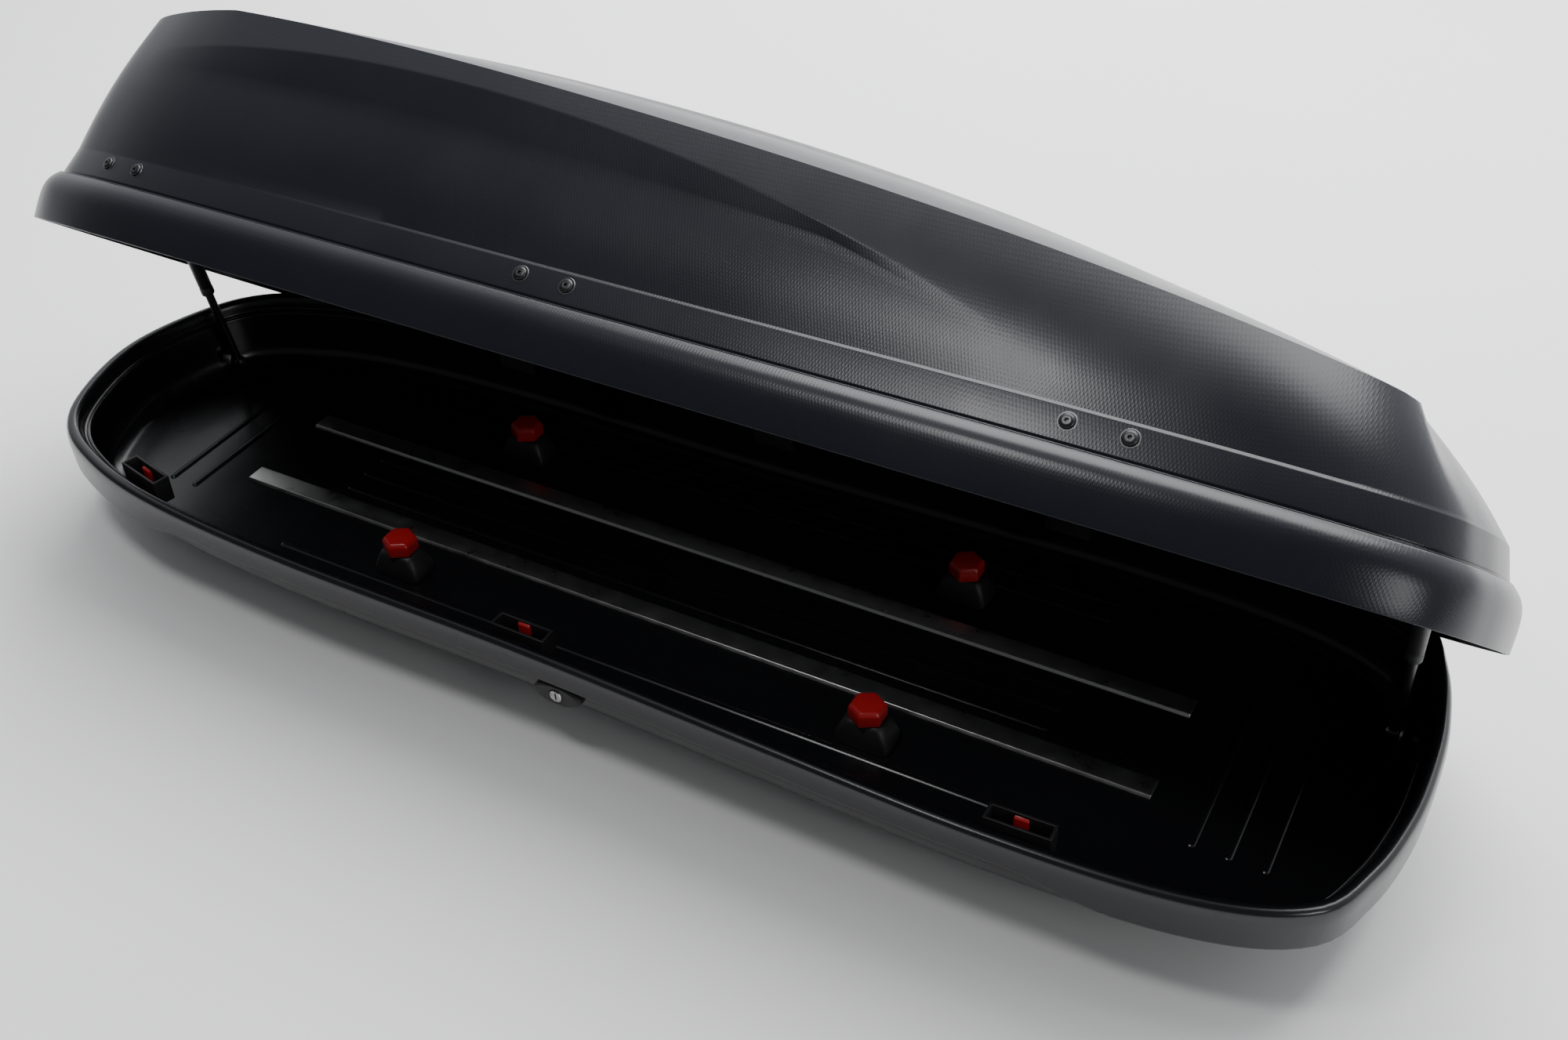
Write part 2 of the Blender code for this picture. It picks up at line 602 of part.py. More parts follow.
def build_hinge(where, x, pivot, axis):
    ay, az = axis.y, axis.z
    half = HINGE_LENGTH / 2
    third = HINGE_LENGTH / 6
    wall_y = leaf_back_y(x)
    low = RIM_Z - LEAF_DROP
    tray_outline = [(ay - KNUCKLE_R, az)] + [(ay - KNUCKLE_R, low), (wall_y, low), (wall_y, RIM_Z - 0.026)]
    tray_outline += [(min(wall_y, ay + 0.001), RIM_Z - 0.022)] + knuckle_arc((ay, az), -55, 170)
    place = Matrix.Translation((x, 0, 0))
    tray_leaf = prism("hinge_tray_leaf_" + where, tray_outline, half, DARK_STEEL, place)
    notch_low = az - KNUCKLE_R - 0.0015
    notch = [(ay - 0.02, notch_low), (ay + 0.03, notch_low), (ay + 0.03, az + 0.02), (ay - 0.02, az + 0.02)]
    cutter = prism("knuckle_cutter_" + where, notch, third + KNUCKLE_GAP / 2, DARK_STEEL, place)
    boolean(tray_leaf, cutter, "DIFFERENCE")
    bore = cylinder_between("bore_cutter_" + where, Vector((x - half - 0.01, ay, az)),
                            Vector((x + half + 0.01, ay, az)), PIN_R + PIN_CLEARANCE, DARK_STEEL, sides=16)
    boolean(tray_leaf, bore, "DIFFERENCE")

    # The lid's leaf is drawn with the lid shut: a knuckle, an arm over the rim and a pad on the band.
    low_z, high_z = FLANGE_TOP + 0.010, BAND_TOP - 0.004
    rim_y = rim_inner_y(x, third)
    inside = LID_WALL + 2 * GAP
    pad_low = (rim_y + band_offset(low_z) - inside, RIM_Z + low_z)
    pad_high = (rim_y + band_offset(high_z) - inside, RIM_Z + high_z)
    lid_outline = knuckle_arc((ay, az), 100, 350)
    lid_outline += [(pad_low[0] - 0.0015, pad_low[1] - 0.003), pad_low, pad_high,
                    (pad_high[0] - LEAF, pad_high[1])]
    lid_outline += [(pad_low[0] - LEAF - 0.001, pad_low[1] + 0.003)]
    lid_leaf = prism("hinge_lid_leaf_" + where, lid_outline, third - KNUCKLE_GAP / 2, DARK_STEEL, place)
    lid_leaf.parent = pivot
    lid_bore = cylinder_between("lid_bore_cutter_" + where, Vector((x - half, ay, az)),
                                Vector((x + half, ay, az)), PIN_R + PIN_CLEARANCE, DARK_STEEL, sides=16)
    boolean(lid_leaf, lid_bore, "DIFFERENCE")
    cylinder_between("hinge_pin_" + where, Vector((x - half - 0.002, ay, az)),
                     Vector((x + half + 0.002, ay, az)), PIN_R, STEEL, sides=16)


# Stays -------------------------------------------------------------------------------------

def turned_lid(y, z, axis, degrees):
    """Where a point of the shut lid lies once the lid has opened by degrees."""
    c, s = cos(radians(degrees)), sin(radians(degrees))
    dy, dz = y - axis.y, z - axis.z
    return axis.y + dy * c + dz * s, axis.z - dy * s + dz * c


def stay_wall_x(side):
    """Inside face of the tray's end wall beside a stay's foot."""
    return end_seat_x(STAY_FOOT[0], STAY_PLATE_R, side, WALL_FOOT_INSET + GAP)


def build_stay(where, side, pivot, axis):
    wall_x = stay_wall_x(side)
    x = wall_x - side * STAY_STANDOFF[where]
    foot_y, foot_z = STAY_FOOT
    shut_y, shut_z = STAY_HEAD[0], RIM_Z + STAY_HEAD[1]
    open_y, open_z = turned_lid(shut_y, shut_z, axis, LID_OPEN)
    shut_length = hypot(shut_y - foot_y, shut_z - foot_z)
    open_length = hypot(open_y - foot_y, open_z - foot_z)
    sleeve_low = STAY_EYE_R + 0.012 + open_length - shut_length
    rod_length = shut_length - 0.018
    lean = atan2(foot_y - open_y, open_z - foot_z)
    base = bpy.data.objects.new("stay_pivot_" + where, None)
    bpy.context.collection.objects.link(base)
    base.location = (x, foot_y, foot_z)
    base.rotation_euler = (lean, 0, 0)

    rod = turned("stay_rod_" + where, [(STAY_ROD_R, 0.002), (STAY_ROD_R, rod_length)], DARK_STEEL)
    rod.parent = base
    eye = cylinder_between("stay_eye_" + where, Vector((-STAY_EYE_HALF, 0, 0)), Vector((STAY_EYE_HALF, 0, 0)),
                           STAY_EYE_R, DARK_STEEL, sides=24)
    eye.parent = base
    boolean(rod, eye, "UNION")
    bore = cylinder_between("stay_bore_" + where, Vector((-0.02, 0, 0)), Vector((0.02, 0, 0)),
                            STAY_STUD_R + GAP, DARK_STEEL, sides=20)
    bore.parent = base
    boolean(rod, bore, "DIFFERENCE")

    r_in = STAY_ROD_R + STAY_CLEARANCE
    top = open_length + 0.010
    sleeve = turned("stay_sleeve_" + where, [(r_in, top - 0.012), (r_in, sleeve_low),
                                             (STAY_SLEEVE_R, sleeve_low), (STAY_SLEEVE_R, top - 0.004),
                                             (STAY_SLEEVE_R - 0.003, top)], BLACK_NYLON)
    sleeve.parent = base
    r_label = STAY_SLEEVE_R + GAP
    label_high = sleeve_low + 0.74 * (top - sleeve_low)
    label_low = label_high - STAY_LABEL
    band = [(r_label, label_low), (r_label, label_high), (r_label + 0.0006, label_high),
            (r_label + 0.0006, label_low)]
    label = turned("stay_label_" + where, band, GREEN_LABEL, closed=True)
    label.parent = base

    # Stud plate on the tray's end wall, its stud through the rod's eye.
    plate = STAY_STANDOFF[where] - STAY_ROD_R - STAY_SIDE_GAP
    stud = [(STAY_PLATE_R, 0.0), (STAY_PLATE_R, plate), (STAY_STUD_R + 0.002, plate),
            (STAY_STUD_R, plate + 0.001), (STAY_STUD_R, STAY_STANDOFF[where] + STAY_EYE_HALF + 0.0025)]
    turn = Matrix.Rotation(-side * pi / 2, 4, "Y")
    turned("stay_foot_" + where, stud, STEEL, Matrix.Translation((wall_x, foot_y, foot_z)) @ turn)

    # Bracket on the lid's end wall; its stud stops beside the sleeve, where the linkage is open.
    end_wall = end_seat_x(shut_y, STAY_PAD_R, side, LID_WALL + 0.0015 - BAND_HEAD)
    near = x + side * (STAY_SLEEVE_R + 0.0010)
    run = abs(end_wall - near)
    bracket = [(STAY_PAD_R, 0.0), (STAY_PAD_R, 0.004), (0.007, 0.007), (0.006, run - 0.001), (0.005, run)]
    head = turned("stay_bracket_" + where, bracket, STEEL,
                  Matrix.Translation((end_wall, shut_y, shut_z)) @ turn)
    head.parent = pivot


# Clamps and floor rails --------------------------------------------------------------------

def claw_outline(side, plate, inset):
    """One claw under the tray: a flat top strip and a hook that turns in below the roof bar."""
    out, reach = CLAMP_OUT + inset, CLAMP_REACH + inset
    return [(side * a, b) for a, b in
            ((out, -plate), (out, 0.008 - CLAMP_DEPTH), (out - 0.007, -CLAMP_DEPTH), (0.0145, -CLAMP_DEPTH),
             (0.0145, 0.006 - CLAMP_DEPTH), (reach, 0.012 - CLAMP_DEPTH), (reach, -CLAMP_SEAT))]


def lobes(radius, z, depth, sides=18):
    """Six-lobed knob outline."""
    made = []
    for point in circle(1.0, z, sides):
        turn = atan2(point.y, point.x)
        reach = radius - depth * (1 + cos(6 * turn)) / 2
        made.append(Vector((reach * cos(turn), reach * sin(turn), z)))
    return made


def build_clamp(tag, x, y):
    place = Matrix.Translation((x, y, 0))
    across = place @ Matrix.Rotation(-pi / 2, 4, "Z")
    fixed = claw_outline(-1, GAP, 0.0)[::-1] + [(CLAMP_OUT, -GAP), (CLAMP_OUT, -CLAMP_PLATE)]
    fixed = [(-0.005, -CLAMP_SEAT)] + fixed + [(-0.005, -CLAMP_PLATE)]
    prism("clamp_base_" + tag, fixed, CLAMP_WIDTH / 2, BLACK_NYLON, across)
    slide = CLAMP_PLATE + 2 * GAP
    moving = [(0.010, -slide)] + claw_outline(1, slide, 0.001) + [(0.010, -CLAMP_SEAT)]
    prism("clamp_claw_" + tag, moving, CLAMP_WIDTH / 2 - 0.003, BLACK_NYLON, across)

    slot_x = CLAMP_SLOT[0] / 2 - CLAMP_CLEARANCE
    slot_y = CLAMP_SLOT[1] / 2 - CLAMP_CLEARANCE
    wide, deep = COVER_HALF
    floor = FLOOR_WALL + GAP
    head = floor + COVER_HEIGHT
    socket = KNOB_STEM_R + CLAMP_CLEARANCE
    rings = [rounded(slot_x, slot_y, 0.004, GAP), rounded(slot_x, slot_y, 0.004, floor),
             rounded(wide, deep, 0.008, floor), rounded(wide, deep, 0.008, floor + 0.010),
             rounded(wide - 0.008, deep - 0.004, 0.010, head - 0.004),
             rounded(wide - 0.012, deep - 0.007, 0.010, head),
             circle(socket, head), circle(socket, head - 0.016)]
    loft("clamp_cover_" + tag, [[place @ p for p in points] for points in rings], BLACK_NYLON)

    top = head + 2 * GAP
    knob = [circle(KNOB_STEM_R, head - 0.014, 18), circle(KNOB_STEM_R, top, 18), lobes(KNOB_R, top, 0.004),
            lobes(KNOB_R, top + 0.015, 0.004), lobes(KNOB_R - 0.004, top + 0.020, 0.003)]
    loft("clamp_knob_" + tag, [[place @ p for p in points] for points in knob], RED_NYLON)


def build_floor_rail(name, y):
    floor = FLOOR_WALL + GAP
    outline = [(y - RAIL_HALF, floor), (y + RAIL_HALF, floor), (y + RAIL_HALF - 0.003, floor + 0.004),
               (y - RAIL_HALF + 0.003, floor + 0.004)]
    prism(name, outline, RAIL_SHARE * LENGTH / 2, STEEL)


# Assembly ----------------------------------------------------------------------------------

def build_box():
    axis = hinge_axis()
    pivot = bpy.data.objects.new("lid_pivot", None)
    bpy.context.collection.objects.link(pivot)
    build_tray()
    lid = build_lid(pivot)
    for where, x in CATCH_X.items():
        for k, step in enumerate((-0.5, 0.5)):
            build_screw("lid_screw_%s_%d" % (where, k + 1), x + step * SCREW_SPACING, lid, pivot)
        build_striker("lid_striker_" + where, x, pivot)
        build_catch(where, x)
    build_lock_bar()
    build_lock()
    for where, x in HINGE_X.items():
        build_hinge(where, x, pivot, axis)
    for where, end in (("front", -1), ("rear", 1)):
        build_stay(where, end, pivot, axis)
        for row, side in (("near", -1), ("far", 1)):
            build_clamp(where + "_" + row, end * CLAMP_X, side * CLAMP_Y)
    build_floor_rail("floor_rail_near", -CLAMP_Y / 2)
    build_floor_rail("floor_rail_far", CLAMP_Y / 2)

    # The lid's pieces are modelled shut, in world coordinates; the pivot swings them open.
    for piece in pivot.children:
        piece.location = -axis
    pivot.location = axis
    pivot.rotation_euler = (radians(-LID_OPEN), 0, 0)


build_box()
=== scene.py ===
# Roof cargo box with its lid propped open: the finish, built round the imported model.
import json
from math import atan2, copysign, cos, pi, radians, sin, tan
import bmesh
import bpy
import numpy as np
from mathutils import Matrix, Vector


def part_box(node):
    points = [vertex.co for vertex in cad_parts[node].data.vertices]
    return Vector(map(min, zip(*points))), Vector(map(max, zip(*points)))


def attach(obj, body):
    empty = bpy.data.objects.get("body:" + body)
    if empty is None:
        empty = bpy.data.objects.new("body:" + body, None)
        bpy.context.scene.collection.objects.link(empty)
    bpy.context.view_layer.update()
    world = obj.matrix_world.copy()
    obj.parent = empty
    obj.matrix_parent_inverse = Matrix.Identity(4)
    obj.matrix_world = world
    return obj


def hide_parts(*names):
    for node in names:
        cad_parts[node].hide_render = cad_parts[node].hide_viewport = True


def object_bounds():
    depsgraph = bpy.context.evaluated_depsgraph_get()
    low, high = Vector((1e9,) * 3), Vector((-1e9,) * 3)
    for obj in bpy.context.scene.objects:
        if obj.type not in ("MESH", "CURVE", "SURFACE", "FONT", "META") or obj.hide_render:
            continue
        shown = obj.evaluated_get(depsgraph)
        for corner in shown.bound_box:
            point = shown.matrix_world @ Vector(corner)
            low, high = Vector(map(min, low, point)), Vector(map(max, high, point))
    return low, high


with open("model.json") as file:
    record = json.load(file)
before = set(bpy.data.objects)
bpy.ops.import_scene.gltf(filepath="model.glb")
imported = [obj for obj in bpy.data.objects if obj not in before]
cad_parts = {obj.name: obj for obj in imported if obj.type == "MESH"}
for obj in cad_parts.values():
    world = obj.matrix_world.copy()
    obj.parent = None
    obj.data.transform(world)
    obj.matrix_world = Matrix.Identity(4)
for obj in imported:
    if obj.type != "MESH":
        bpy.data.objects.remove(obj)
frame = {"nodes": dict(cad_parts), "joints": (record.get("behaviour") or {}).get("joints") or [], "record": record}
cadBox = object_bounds()
joints = {joint["name"]: joint for joint in frame["joints"]}
print("frame loaded:", len(frame["nodes"]), "nodes")

view = {
    "place": (0.9108, -1.3665, 1.4005),
    "azimuth": 29.073,                   # degrees, from looking along +Y
    "elevation": 38.492,
    "roll": -1.511,
    "lens": 38.855,
}


def addCamera():
    az, el = radians(view["azimuth"]), radians(view["elevation"])
    way = Vector((-sin(az) * cos(el), cos(az) * cos(el), -sin(el)))
    data = bpy.data.cameras.new("viewCamera")
    data.lens = view["lens"]
    data.sensor_width = 36.0
    camera = bpy.data.objects.new("viewCamera", data)
    bpy.context.collection.objects.link(camera)
    camera.location = view["place"]
    level = way.to_track_quat("-Z", "Y").to_matrix()
    camera.rotation_euler = (level @ Matrix.Rotation(radians(view["roll"]), 3, "Z")).to_euler()
    bpy.context.scene.camera = camera


addCamera()


# Materials: each is one shader with its own grain, mottling and worn edges

def socketOf(node, name):
    return next(s for s in node.inputs if s.name == name and s.enabled)


def newMaterial(name):
    material = bpy.data.materials.new(name)
    material.use_nodes = True
    nodes, links = material.node_tree.nodes, material.node_tree.links
    shader = nodes["Principled BSDF"]
    coords = nodes.new("ShaderNodeTexCoord")
    return material, nodes, links, shader, coords.outputs["Object"]


def addNoise(nodes, links, coords, scale, detail=3.0, rough=0.55):
    noise = nodes.new("ShaderNodeTexNoise")
    noise.inputs["Scale"].default_value = scale
    noise.inputs["Detail"].default_value = detail
    noise.inputs["Roughness"].default_value = rough
    links.new(coords, noise.inputs["Vector"])
    return noise.outputs["Fac"]


def remap(nodes, links, value, low, high, start=0.0, end=1.0):
    node = nodes.new("ShaderNodeMapRange")
    node.inputs["From Min"].default_value = start
    node.inputs["From Max"].default_value = end
    node.inputs["To Min"].default_value = low
    node.inputs["To Max"].default_value = high
    links.new(value, node.inputs["Value"])
    return node.outputs["Result"]


def mathNode(nodes, links, operation, first, second):
    node = nodes.new("ShaderNodeMath")
    node.operation = operation
    for socket, value in zip(node.inputs, (first, second)):
        if isinstance(value, (int, float)):
            socket.default_value = value
        else:
            links.new(value, socket)
    return node.outputs[0]


def mixColours(nodes, links, factor, low, high):
    node = nodes.new("ShaderNodeMix")
    node.data_type = "RGBA"
    links.new(factor, node.inputs["Factor"])
    for name, value in (("A", low), ("B", high)):
        socket = socketOf(node, name)
        if isinstance(value, tuple):
            socket.default_value = (*value, 1.0)
        else:
            links.new(value, socket)
    return next(s for s in node.outputs if s.enabled)


def diagonalGrain(nodes, links, coords, pitch):
    # two sets of fine lines that cross, as textured sheet has
    waves = []
    for turn in (35.0, -35.0):
        mapping = nodes.new("ShaderNodeMapping")
        mapping.inputs["Rotation"].default_value = (0.0, radians(turn), 0.0)
        wave = nodes.new("ShaderNodeTexWave")
        wave.wave_type = "BANDS"
        wave.bands_direction = "X"
        wave.inputs["Scale"].default_value = 2 * pi / 20 / pitch
        wave.inputs["Distortion"].default_value = 0.4
        wave.inputs["Detail"].default_value = 1.0
        links.new(coords, mapping.inputs["Vector"])
        links.new(mapping.outputs["Vector"], wave.inputs["Vector"])
        waves.append(wave.outputs["Fac"])
    return mathNode(nodes, links, "MULTIPLY", waves[0], waves[1])


def addBumps(nodes, links, shader, layers):
    normal = None
    for height, depth, strength in layers:
        bump = nodes.new("ShaderNodeBump")
        bump.inputs["Distance"].default_value = depth
        bump.inputs["Strength"].default_value = strength
        links.new(height, bump.inputs["Height"])
        if normal:
            links.new(normal, bump.inputs["Normal"])
        normal = bump.outputs["Normal"]
    links.new(normal, shader.inputs["Normal"])


def edgeWear(nodes, links, start, end):
    geometry = nodes.new("ShaderNodeNewGeometry")
    return remap(nodes, links, geometry.outputs["Pointiness"], 0.0, 1.0, start, end)


noiseSpan = (0.2, 0.8)                   # where nearly all of a noise's values lie


def mouldedPlastic(name, look):
    material, nodes, links, shader, coords = newMaterial(name)
    mottle = addNoise(nodes, links, coords, look["mottleScale"], 4.0)
    colour = mixColours(nodes, links, mottle, look["dark"], look["light"])
    wear = edgeWear(nodes, links, 0.55, 0.66)
    wear = mathNode(nodes, links, "MULTIPLY", wear, look["wear"])
    links.new(mixColours(nodes, links, wear, colour, look["worn"]), shader.inputs["Base Color"])
    handled = addNoise(nodes, links, coords, 9.0, 2.0, 0.5)
    links.new(remap(nodes, links, handled, look["gloss"][0], look["gloss"][1], *noiseSpan),
              shader.inputs["Roughness"])
    layers = [(addNoise(nodes, links, coords, look["grainScale"], 2.0), 0.0002, look["grain"])]
    if look["pitch"]:
        layers.append((diagonalGrain(nodes, links, coords, look["pitch"]), 0.0002, look["lines"]))
    layers.append((addNoise(nodes, links, coords, 14.0, 1.0), 0.0006, look["ripple"]))
    addBumps(nodes, links, shader, layers)
    shader.inputs["IOR"].default_value = look["bend"]
    shader.inputs["Coat Weight"].default_value = look["coat"]
    shader.inputs["Coat Roughness"].default_value = look["coatRoughness"]
    return material


def platedMetal(name, look):
    material, nodes, links, shader, coords = newMaterial(name)
    cloud = addNoise(nodes, links, coords, 45.0, 2.0, 0.5)
    colour = mixColours(nodes, links, cloud, look["dark"], look["light"])
    wear = mathNode(nodes, links, "MULTIPLY", edgeWear(nodes, links, 0.52, 0.60), look["wear"])
    links.new(mixColours(nodes, links, wear, colour, look["worn"]), shader.inputs["Base Color"])
    links.new(remap(nodes, links, cloud, look["gloss"][0], look["gloss"][1], *noiseSpan),
              shader.inputs["Roughness"])
    addBumps(nodes, links, shader, [(addNoise(nodes, links, coords, 900.0, 2.0), 0.0001, look["grain"])])
    shader.inputs["Metallic"].default_value = look["metallic"]
    return material


plasticLooks = {
    "lidSheet": {
        "dark": (0.0070, 0.0080, 0.0125), "light": (0.0100, 0.0112, 0.0165), "worn": (0.04, 0.042, 0.05),
        "wear": 0.30, "gloss": (0.25, 0.32), "mottleScale": 4.0, "grainScale": 800.0, "grain": 0.12,
        "pitch": 0.0030, "lines": 0.25, "ripple": 0.02, "bend": 1.42, "coat": 0.0, "coatRoughness": 0.3,
    },
    "traySheet": {
        "dark": (0.0055, 0.0058, 0.0075), "light": (0.0085, 0.0090, 0.0110), "worn": (0.05, 0.05, 0.055),
        "wear": 0.4, "gloss": (0.22, 0.32), "mottleScale": 5.0, "grainScale": 700.0, "grain": 0.10,
        "pitch": 0.0, "lines": 0.0, "ripple": 0.05, "bend": 1.5, "coat": 0.15, "coatRoughness": 0.18,
    },
    "blackNylon": {
        "dark": (0.010, 0.010, 0.011), "light": (0.017, 0.017, 0.018), "worn": (0.06, 0.06, 0.06),
        "wear": 0.5, "gloss": (0.42, 0.56), "mottleScale": 30.0, "grainScale": 1600.0, "grain": 0.35,
        "pitch": 0.0, "lines": 0.0, "ripple": 0.05, "bend": 1.5, "coat": 0.0, "coatRoughness": 0.3,
    },
    "redNylon": {
        "dark": (0.42, 0.010, 0.014), "light": (0.56, 0.016, 0.020), "worn": (0.70, 0.10, 0.09),
        "wear": 0.35, "gloss": (0.28, 0.40), "mottleScale": 40.0, "grainScale": 1500.0, "grain": 0.20,
        "pitch": 0.0, "lines": 0.0, "ripple": 0.05, "bend": 1.5, "coat": 0.1, "coatRoughness": 0.2,
    },
}
metalLooks = {
    "zincSteel": {"dark": (0.42, 0.42, 0.40), "light": (0.62, 0.62, 0.60), "worn": (0.75, 0.75, 0.73),
                  "wear": 0.5, "gloss": (0.24, 0.40), "grain": 0.25, "metallic": 1.0},
    "darkSteel": {"dark": (0.030, 0.030, 0.033), "light": (0.060, 0.060, 0.064), "worn": (0.32, 0.32, 0.32),
                  "wear": 0.6, "gloss": (0.28, 0.42), "grain": 0.30, "metallic": 0.85},
}
labelLook = {"base": (0.055, 0.30, 0.185), "stripe": (0.50, 0.62, 0.55), "rule": (0.02, 0.13, 0.08),
             "pitch": 0.0115}


def stripedLabel():
    material, nodes, links, shader, coords = newMaterial("greenLabel")
    rules = nodes.new("ShaderNodeTexWave")
    rules.wave_type = "BANDS"
    rules.bands_direction = "Z"
    rules.inputs["Scale"].default_value = 2 * pi / 20 / labelLook["pitch"]
    links.new(coords, rules.inputs["Vector"])
    lines = remap(nodes, links, rules.outputs["Fac"], 0.0, 0.55, 0.93, 0.97)
    soil = addNoise(nodes, links, coords, 120.0, 4.0)
    base = mixColours(nodes, links, soil, labelLook["rule"], labelLook["base"])
    base = mixColours(nodes, links, remap(nodes, links, soil, 0.0, 1.0, 0.2, 0.45), base, labelLook["base"])
    links.new(mixColours(nodes, links, lines, base, labelLook["stripe"]), shader.inputs["Base Color"])
    links.new(remap(nodes, links, soil, 0.38, 0.52), shader.inputs["Roughness"])
    addBumps(nodes, links, shader, [(soil, 0.0001, 0.2)])
    return material


finishes = {name: mouldedPlastic(name, look) for name, look in plasticLooks.items()}
finishes.update({name: platedMetal(name, look) for name, look in metalLooks.items()})
finishes["greenLabel"] = stripedLabel()
slotFinish = {
    "lid_abs": "lidSheet", "tray_abs": "traySheet", "black_nylon": "blackNylon", "red_nylon": "redNylon",
    "zinc_steel": "zincSteel", "dark_steel": "darkSteel", "green_label": "greenLabel",
}
nodeSlot = {entry["node"]: entry["material_slot"] for entry in frame["record"]["subparts"]}
print("finishes:", ", ".join(finishes))


# Plan outline that both shells follow

plan = {
    "length": 1.90, "width": 0.65, "overhang": 0.034, "noseBulge": 0.006, "rimZ": 0.100, "stations": 288,
    "drawIn": 0.3,                           # the middle line is this much shorter than the outline
    # near half of the rim, tail to nose, as shares of half the length and half the width
    "nearHalf": [(1.0, 0.0), (0.995, 0.26), (0.974, 0.54), (0.930, 0.775), (0.803, 0.915), (0.572, 0.962),
                 (0.275, 0.941), (-0.055, 0.9135), (-0.440, 0.910), (-0.704, 0.853), (-0.858, 0.729),
                 (-0.941, 0.570), (-0.987, 0.309), (-1.007, 0.0)],
}
halfLength = plan["length"] / 2 - plan["overhang"] - plan["noseBulge"]
halfWidth = (plan["width"] / 2 - plan["overhang"]) / max(y for x, y in plan["nearHalf"])


def planCurve(fine=1400):
    points = np.array([(x * halfLength, -y * halfWidth) for x, y in plan["nearHalf"]])
    last = len(points) - 1
    padded = np.vstack([points[1] * (1, -1), points, points[last - 1] * (1, -1)])
    made = []
    for k in range(fine + 1):
        t = k * last / fine
        i = min(int(t), last - 1)
        f = t - i
        a, b, c, d = padded[i:i + 4]
        square = 2 * a - 5 * b + 4 * c - d
        cube = 3 * b - a - 3 * c + d
        made.append(0.5 * (2 * b + (c - a) * f + square * f ** 2 + cube * f ** 3))
    return np.array(made)


def rimStations(count):
    # evenly spaced points and outward normals, the whole way round
    near = planCurve()
    whole = np.vstack([near, near[-2:0:-1] * (1, -1)])
    loop = np.vstack([whole, whole[:1]])
    run = np.concatenate([[0], np.cumsum(np.linalg.norm(np.diff(loop, axis=0), axis=1))])
    want = np.linspace(0, run[-1], count, endpoint=False)
    places = np.column_stack([np.interp(want, run, loop[:, k]) for k in (0, 1)])
    way = np.roll(places, -1, axis=0) - np.roll(places, 1, axis=0)
    normals = np.column_stack([way[:, 1], -way[:, 0]])
    normals /= np.linalg.norm(normals, axis=1)[:, None]
    if (normals * places).sum() < 0:
        normals = -normals
    return places, normals


places, normals = rimStations(plan["stations"])
places[0, 1] = 0.0
places[plan["stations"] // 2, 1] = 0.0
for side, index in ((1.0, 0), (-1.0, plan["stations"] // 2)):
    normals[index] = (side, 0.0)


def rowAt(offset, height):
    # one loop round the box; offset and height are numbers or one value for each station
    offset = np.broadcast_to(np.asarray(offset, float), len(places))
    height = np.broadcast_to(np.asarray(height, float), len(places))
    flat = places + normals * offset[:, None]
    return np.column_stack([flat, plan["rimZ"] + height])


def shrunkRow(row, share, height):
    # a loop drawn in towards the middle line, flat where the box is flat
    made = row.copy()
    made[:, 0] *= 1 - plan["drawIn"] * share
    made[:, 1] *= 1 - share
    made[:, 2] = plan["rimZ"] + height
    return made


def roundedSection(points, radii, steps=4):
    # points: (offset, height) pairs of one value or one for each station; corners get soft turns
    count = len(places)
    corners = [np.array([np.broadcast_to(np.asarray(v, float), count) for v in point]) for point in points]
    section = []
    for i, (corner, radius) in enumerate(zip(corners, radii)):
        if radius == 0 or i in (0, len(corners) - 1):
            section.append(corner)
            continue
        before, after = corners[i - 1] - corner, corners[i + 1] - corner
        a = corner + before * np.minimum(radius / np.maximum(np.linalg.norm(before, axis=0), 1e-6), 0.48)
        b = corner + after * np.minimum(radius / np.maximum(np.linalg.norm(after, axis=0), 1e-6), 0.48)
        for k in range(steps + 1):
            t = k / steps
            section.append(a * (1 - t) ** 2 + corner * 2 * t * (1 - t) + b * t * t)
    return [rowAt(offset, height) for offset, height in section]


# Making pieces

def ridePiece(piece, body, replaced=()):
    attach(piece, body)
    if replaced:
        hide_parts(*replaced)
    return piece


def meshPiece(name, mesh, finish):
    mesh.materials.clear()
    mesh.materials.append(finishes[finish])
    piece = bpy.data.objects.new(name, mesh)
    bpy.context.collection.objects.link(piece)
    return piece


def closedMesh(name, bm, angle=30.0, merge=0.00001):
    bmesh.ops.remove_doubles(bm, verts=bm.verts, dist=merge)
    bmesh.ops.recalc_face_normals(bm, faces=bm.faces)
    if bm.calc_volume(signed=True) < 0:
        bmesh.ops.reverse_faces(bm, faces=bm.faces)
    mesh = bpy.data.meshes.new(name)
    bm.to_mesh(mesh)
    bm.free()
    mesh.shade_smooth()
    mesh.set_sharp_from_angle(angle=radians(angle))
    return mesh


def loftMesh(name, rows, angle=30.0, closed=False, capped=False):
    bm = bmesh.new()
    loops = [[bm.verts.new(point) for point in row] for row in rows]
    count = len(loops[0])
    for low, high in list(zip(loops, loops[1:])) + ([(loops[-1], loops[0])] if closed else []):
        for i in range(count):
            j = (i + 1) % count
            bm.faces.new((low[i], low[j], high[j], high[i]))
    if capped:
        bm.faces.new(loops[0])
        bm.faces.new(loops[-1])
    return closedMesh(name, bm, angle)


def turnedMesh(name, profile, matrix=Matrix.Identity(4), sides=48, angle=30.0, closed=False):
    rows = []
    for radius, height in profile:
        angles = [2 * pi * k / sides for k in range(sides)]
        rows.append([matrix @ Vector((radius * cos(a), radius * sin(a), height)) for a in angles])
    return loftMesh(name, rows, angle, closed, capped=not closed)


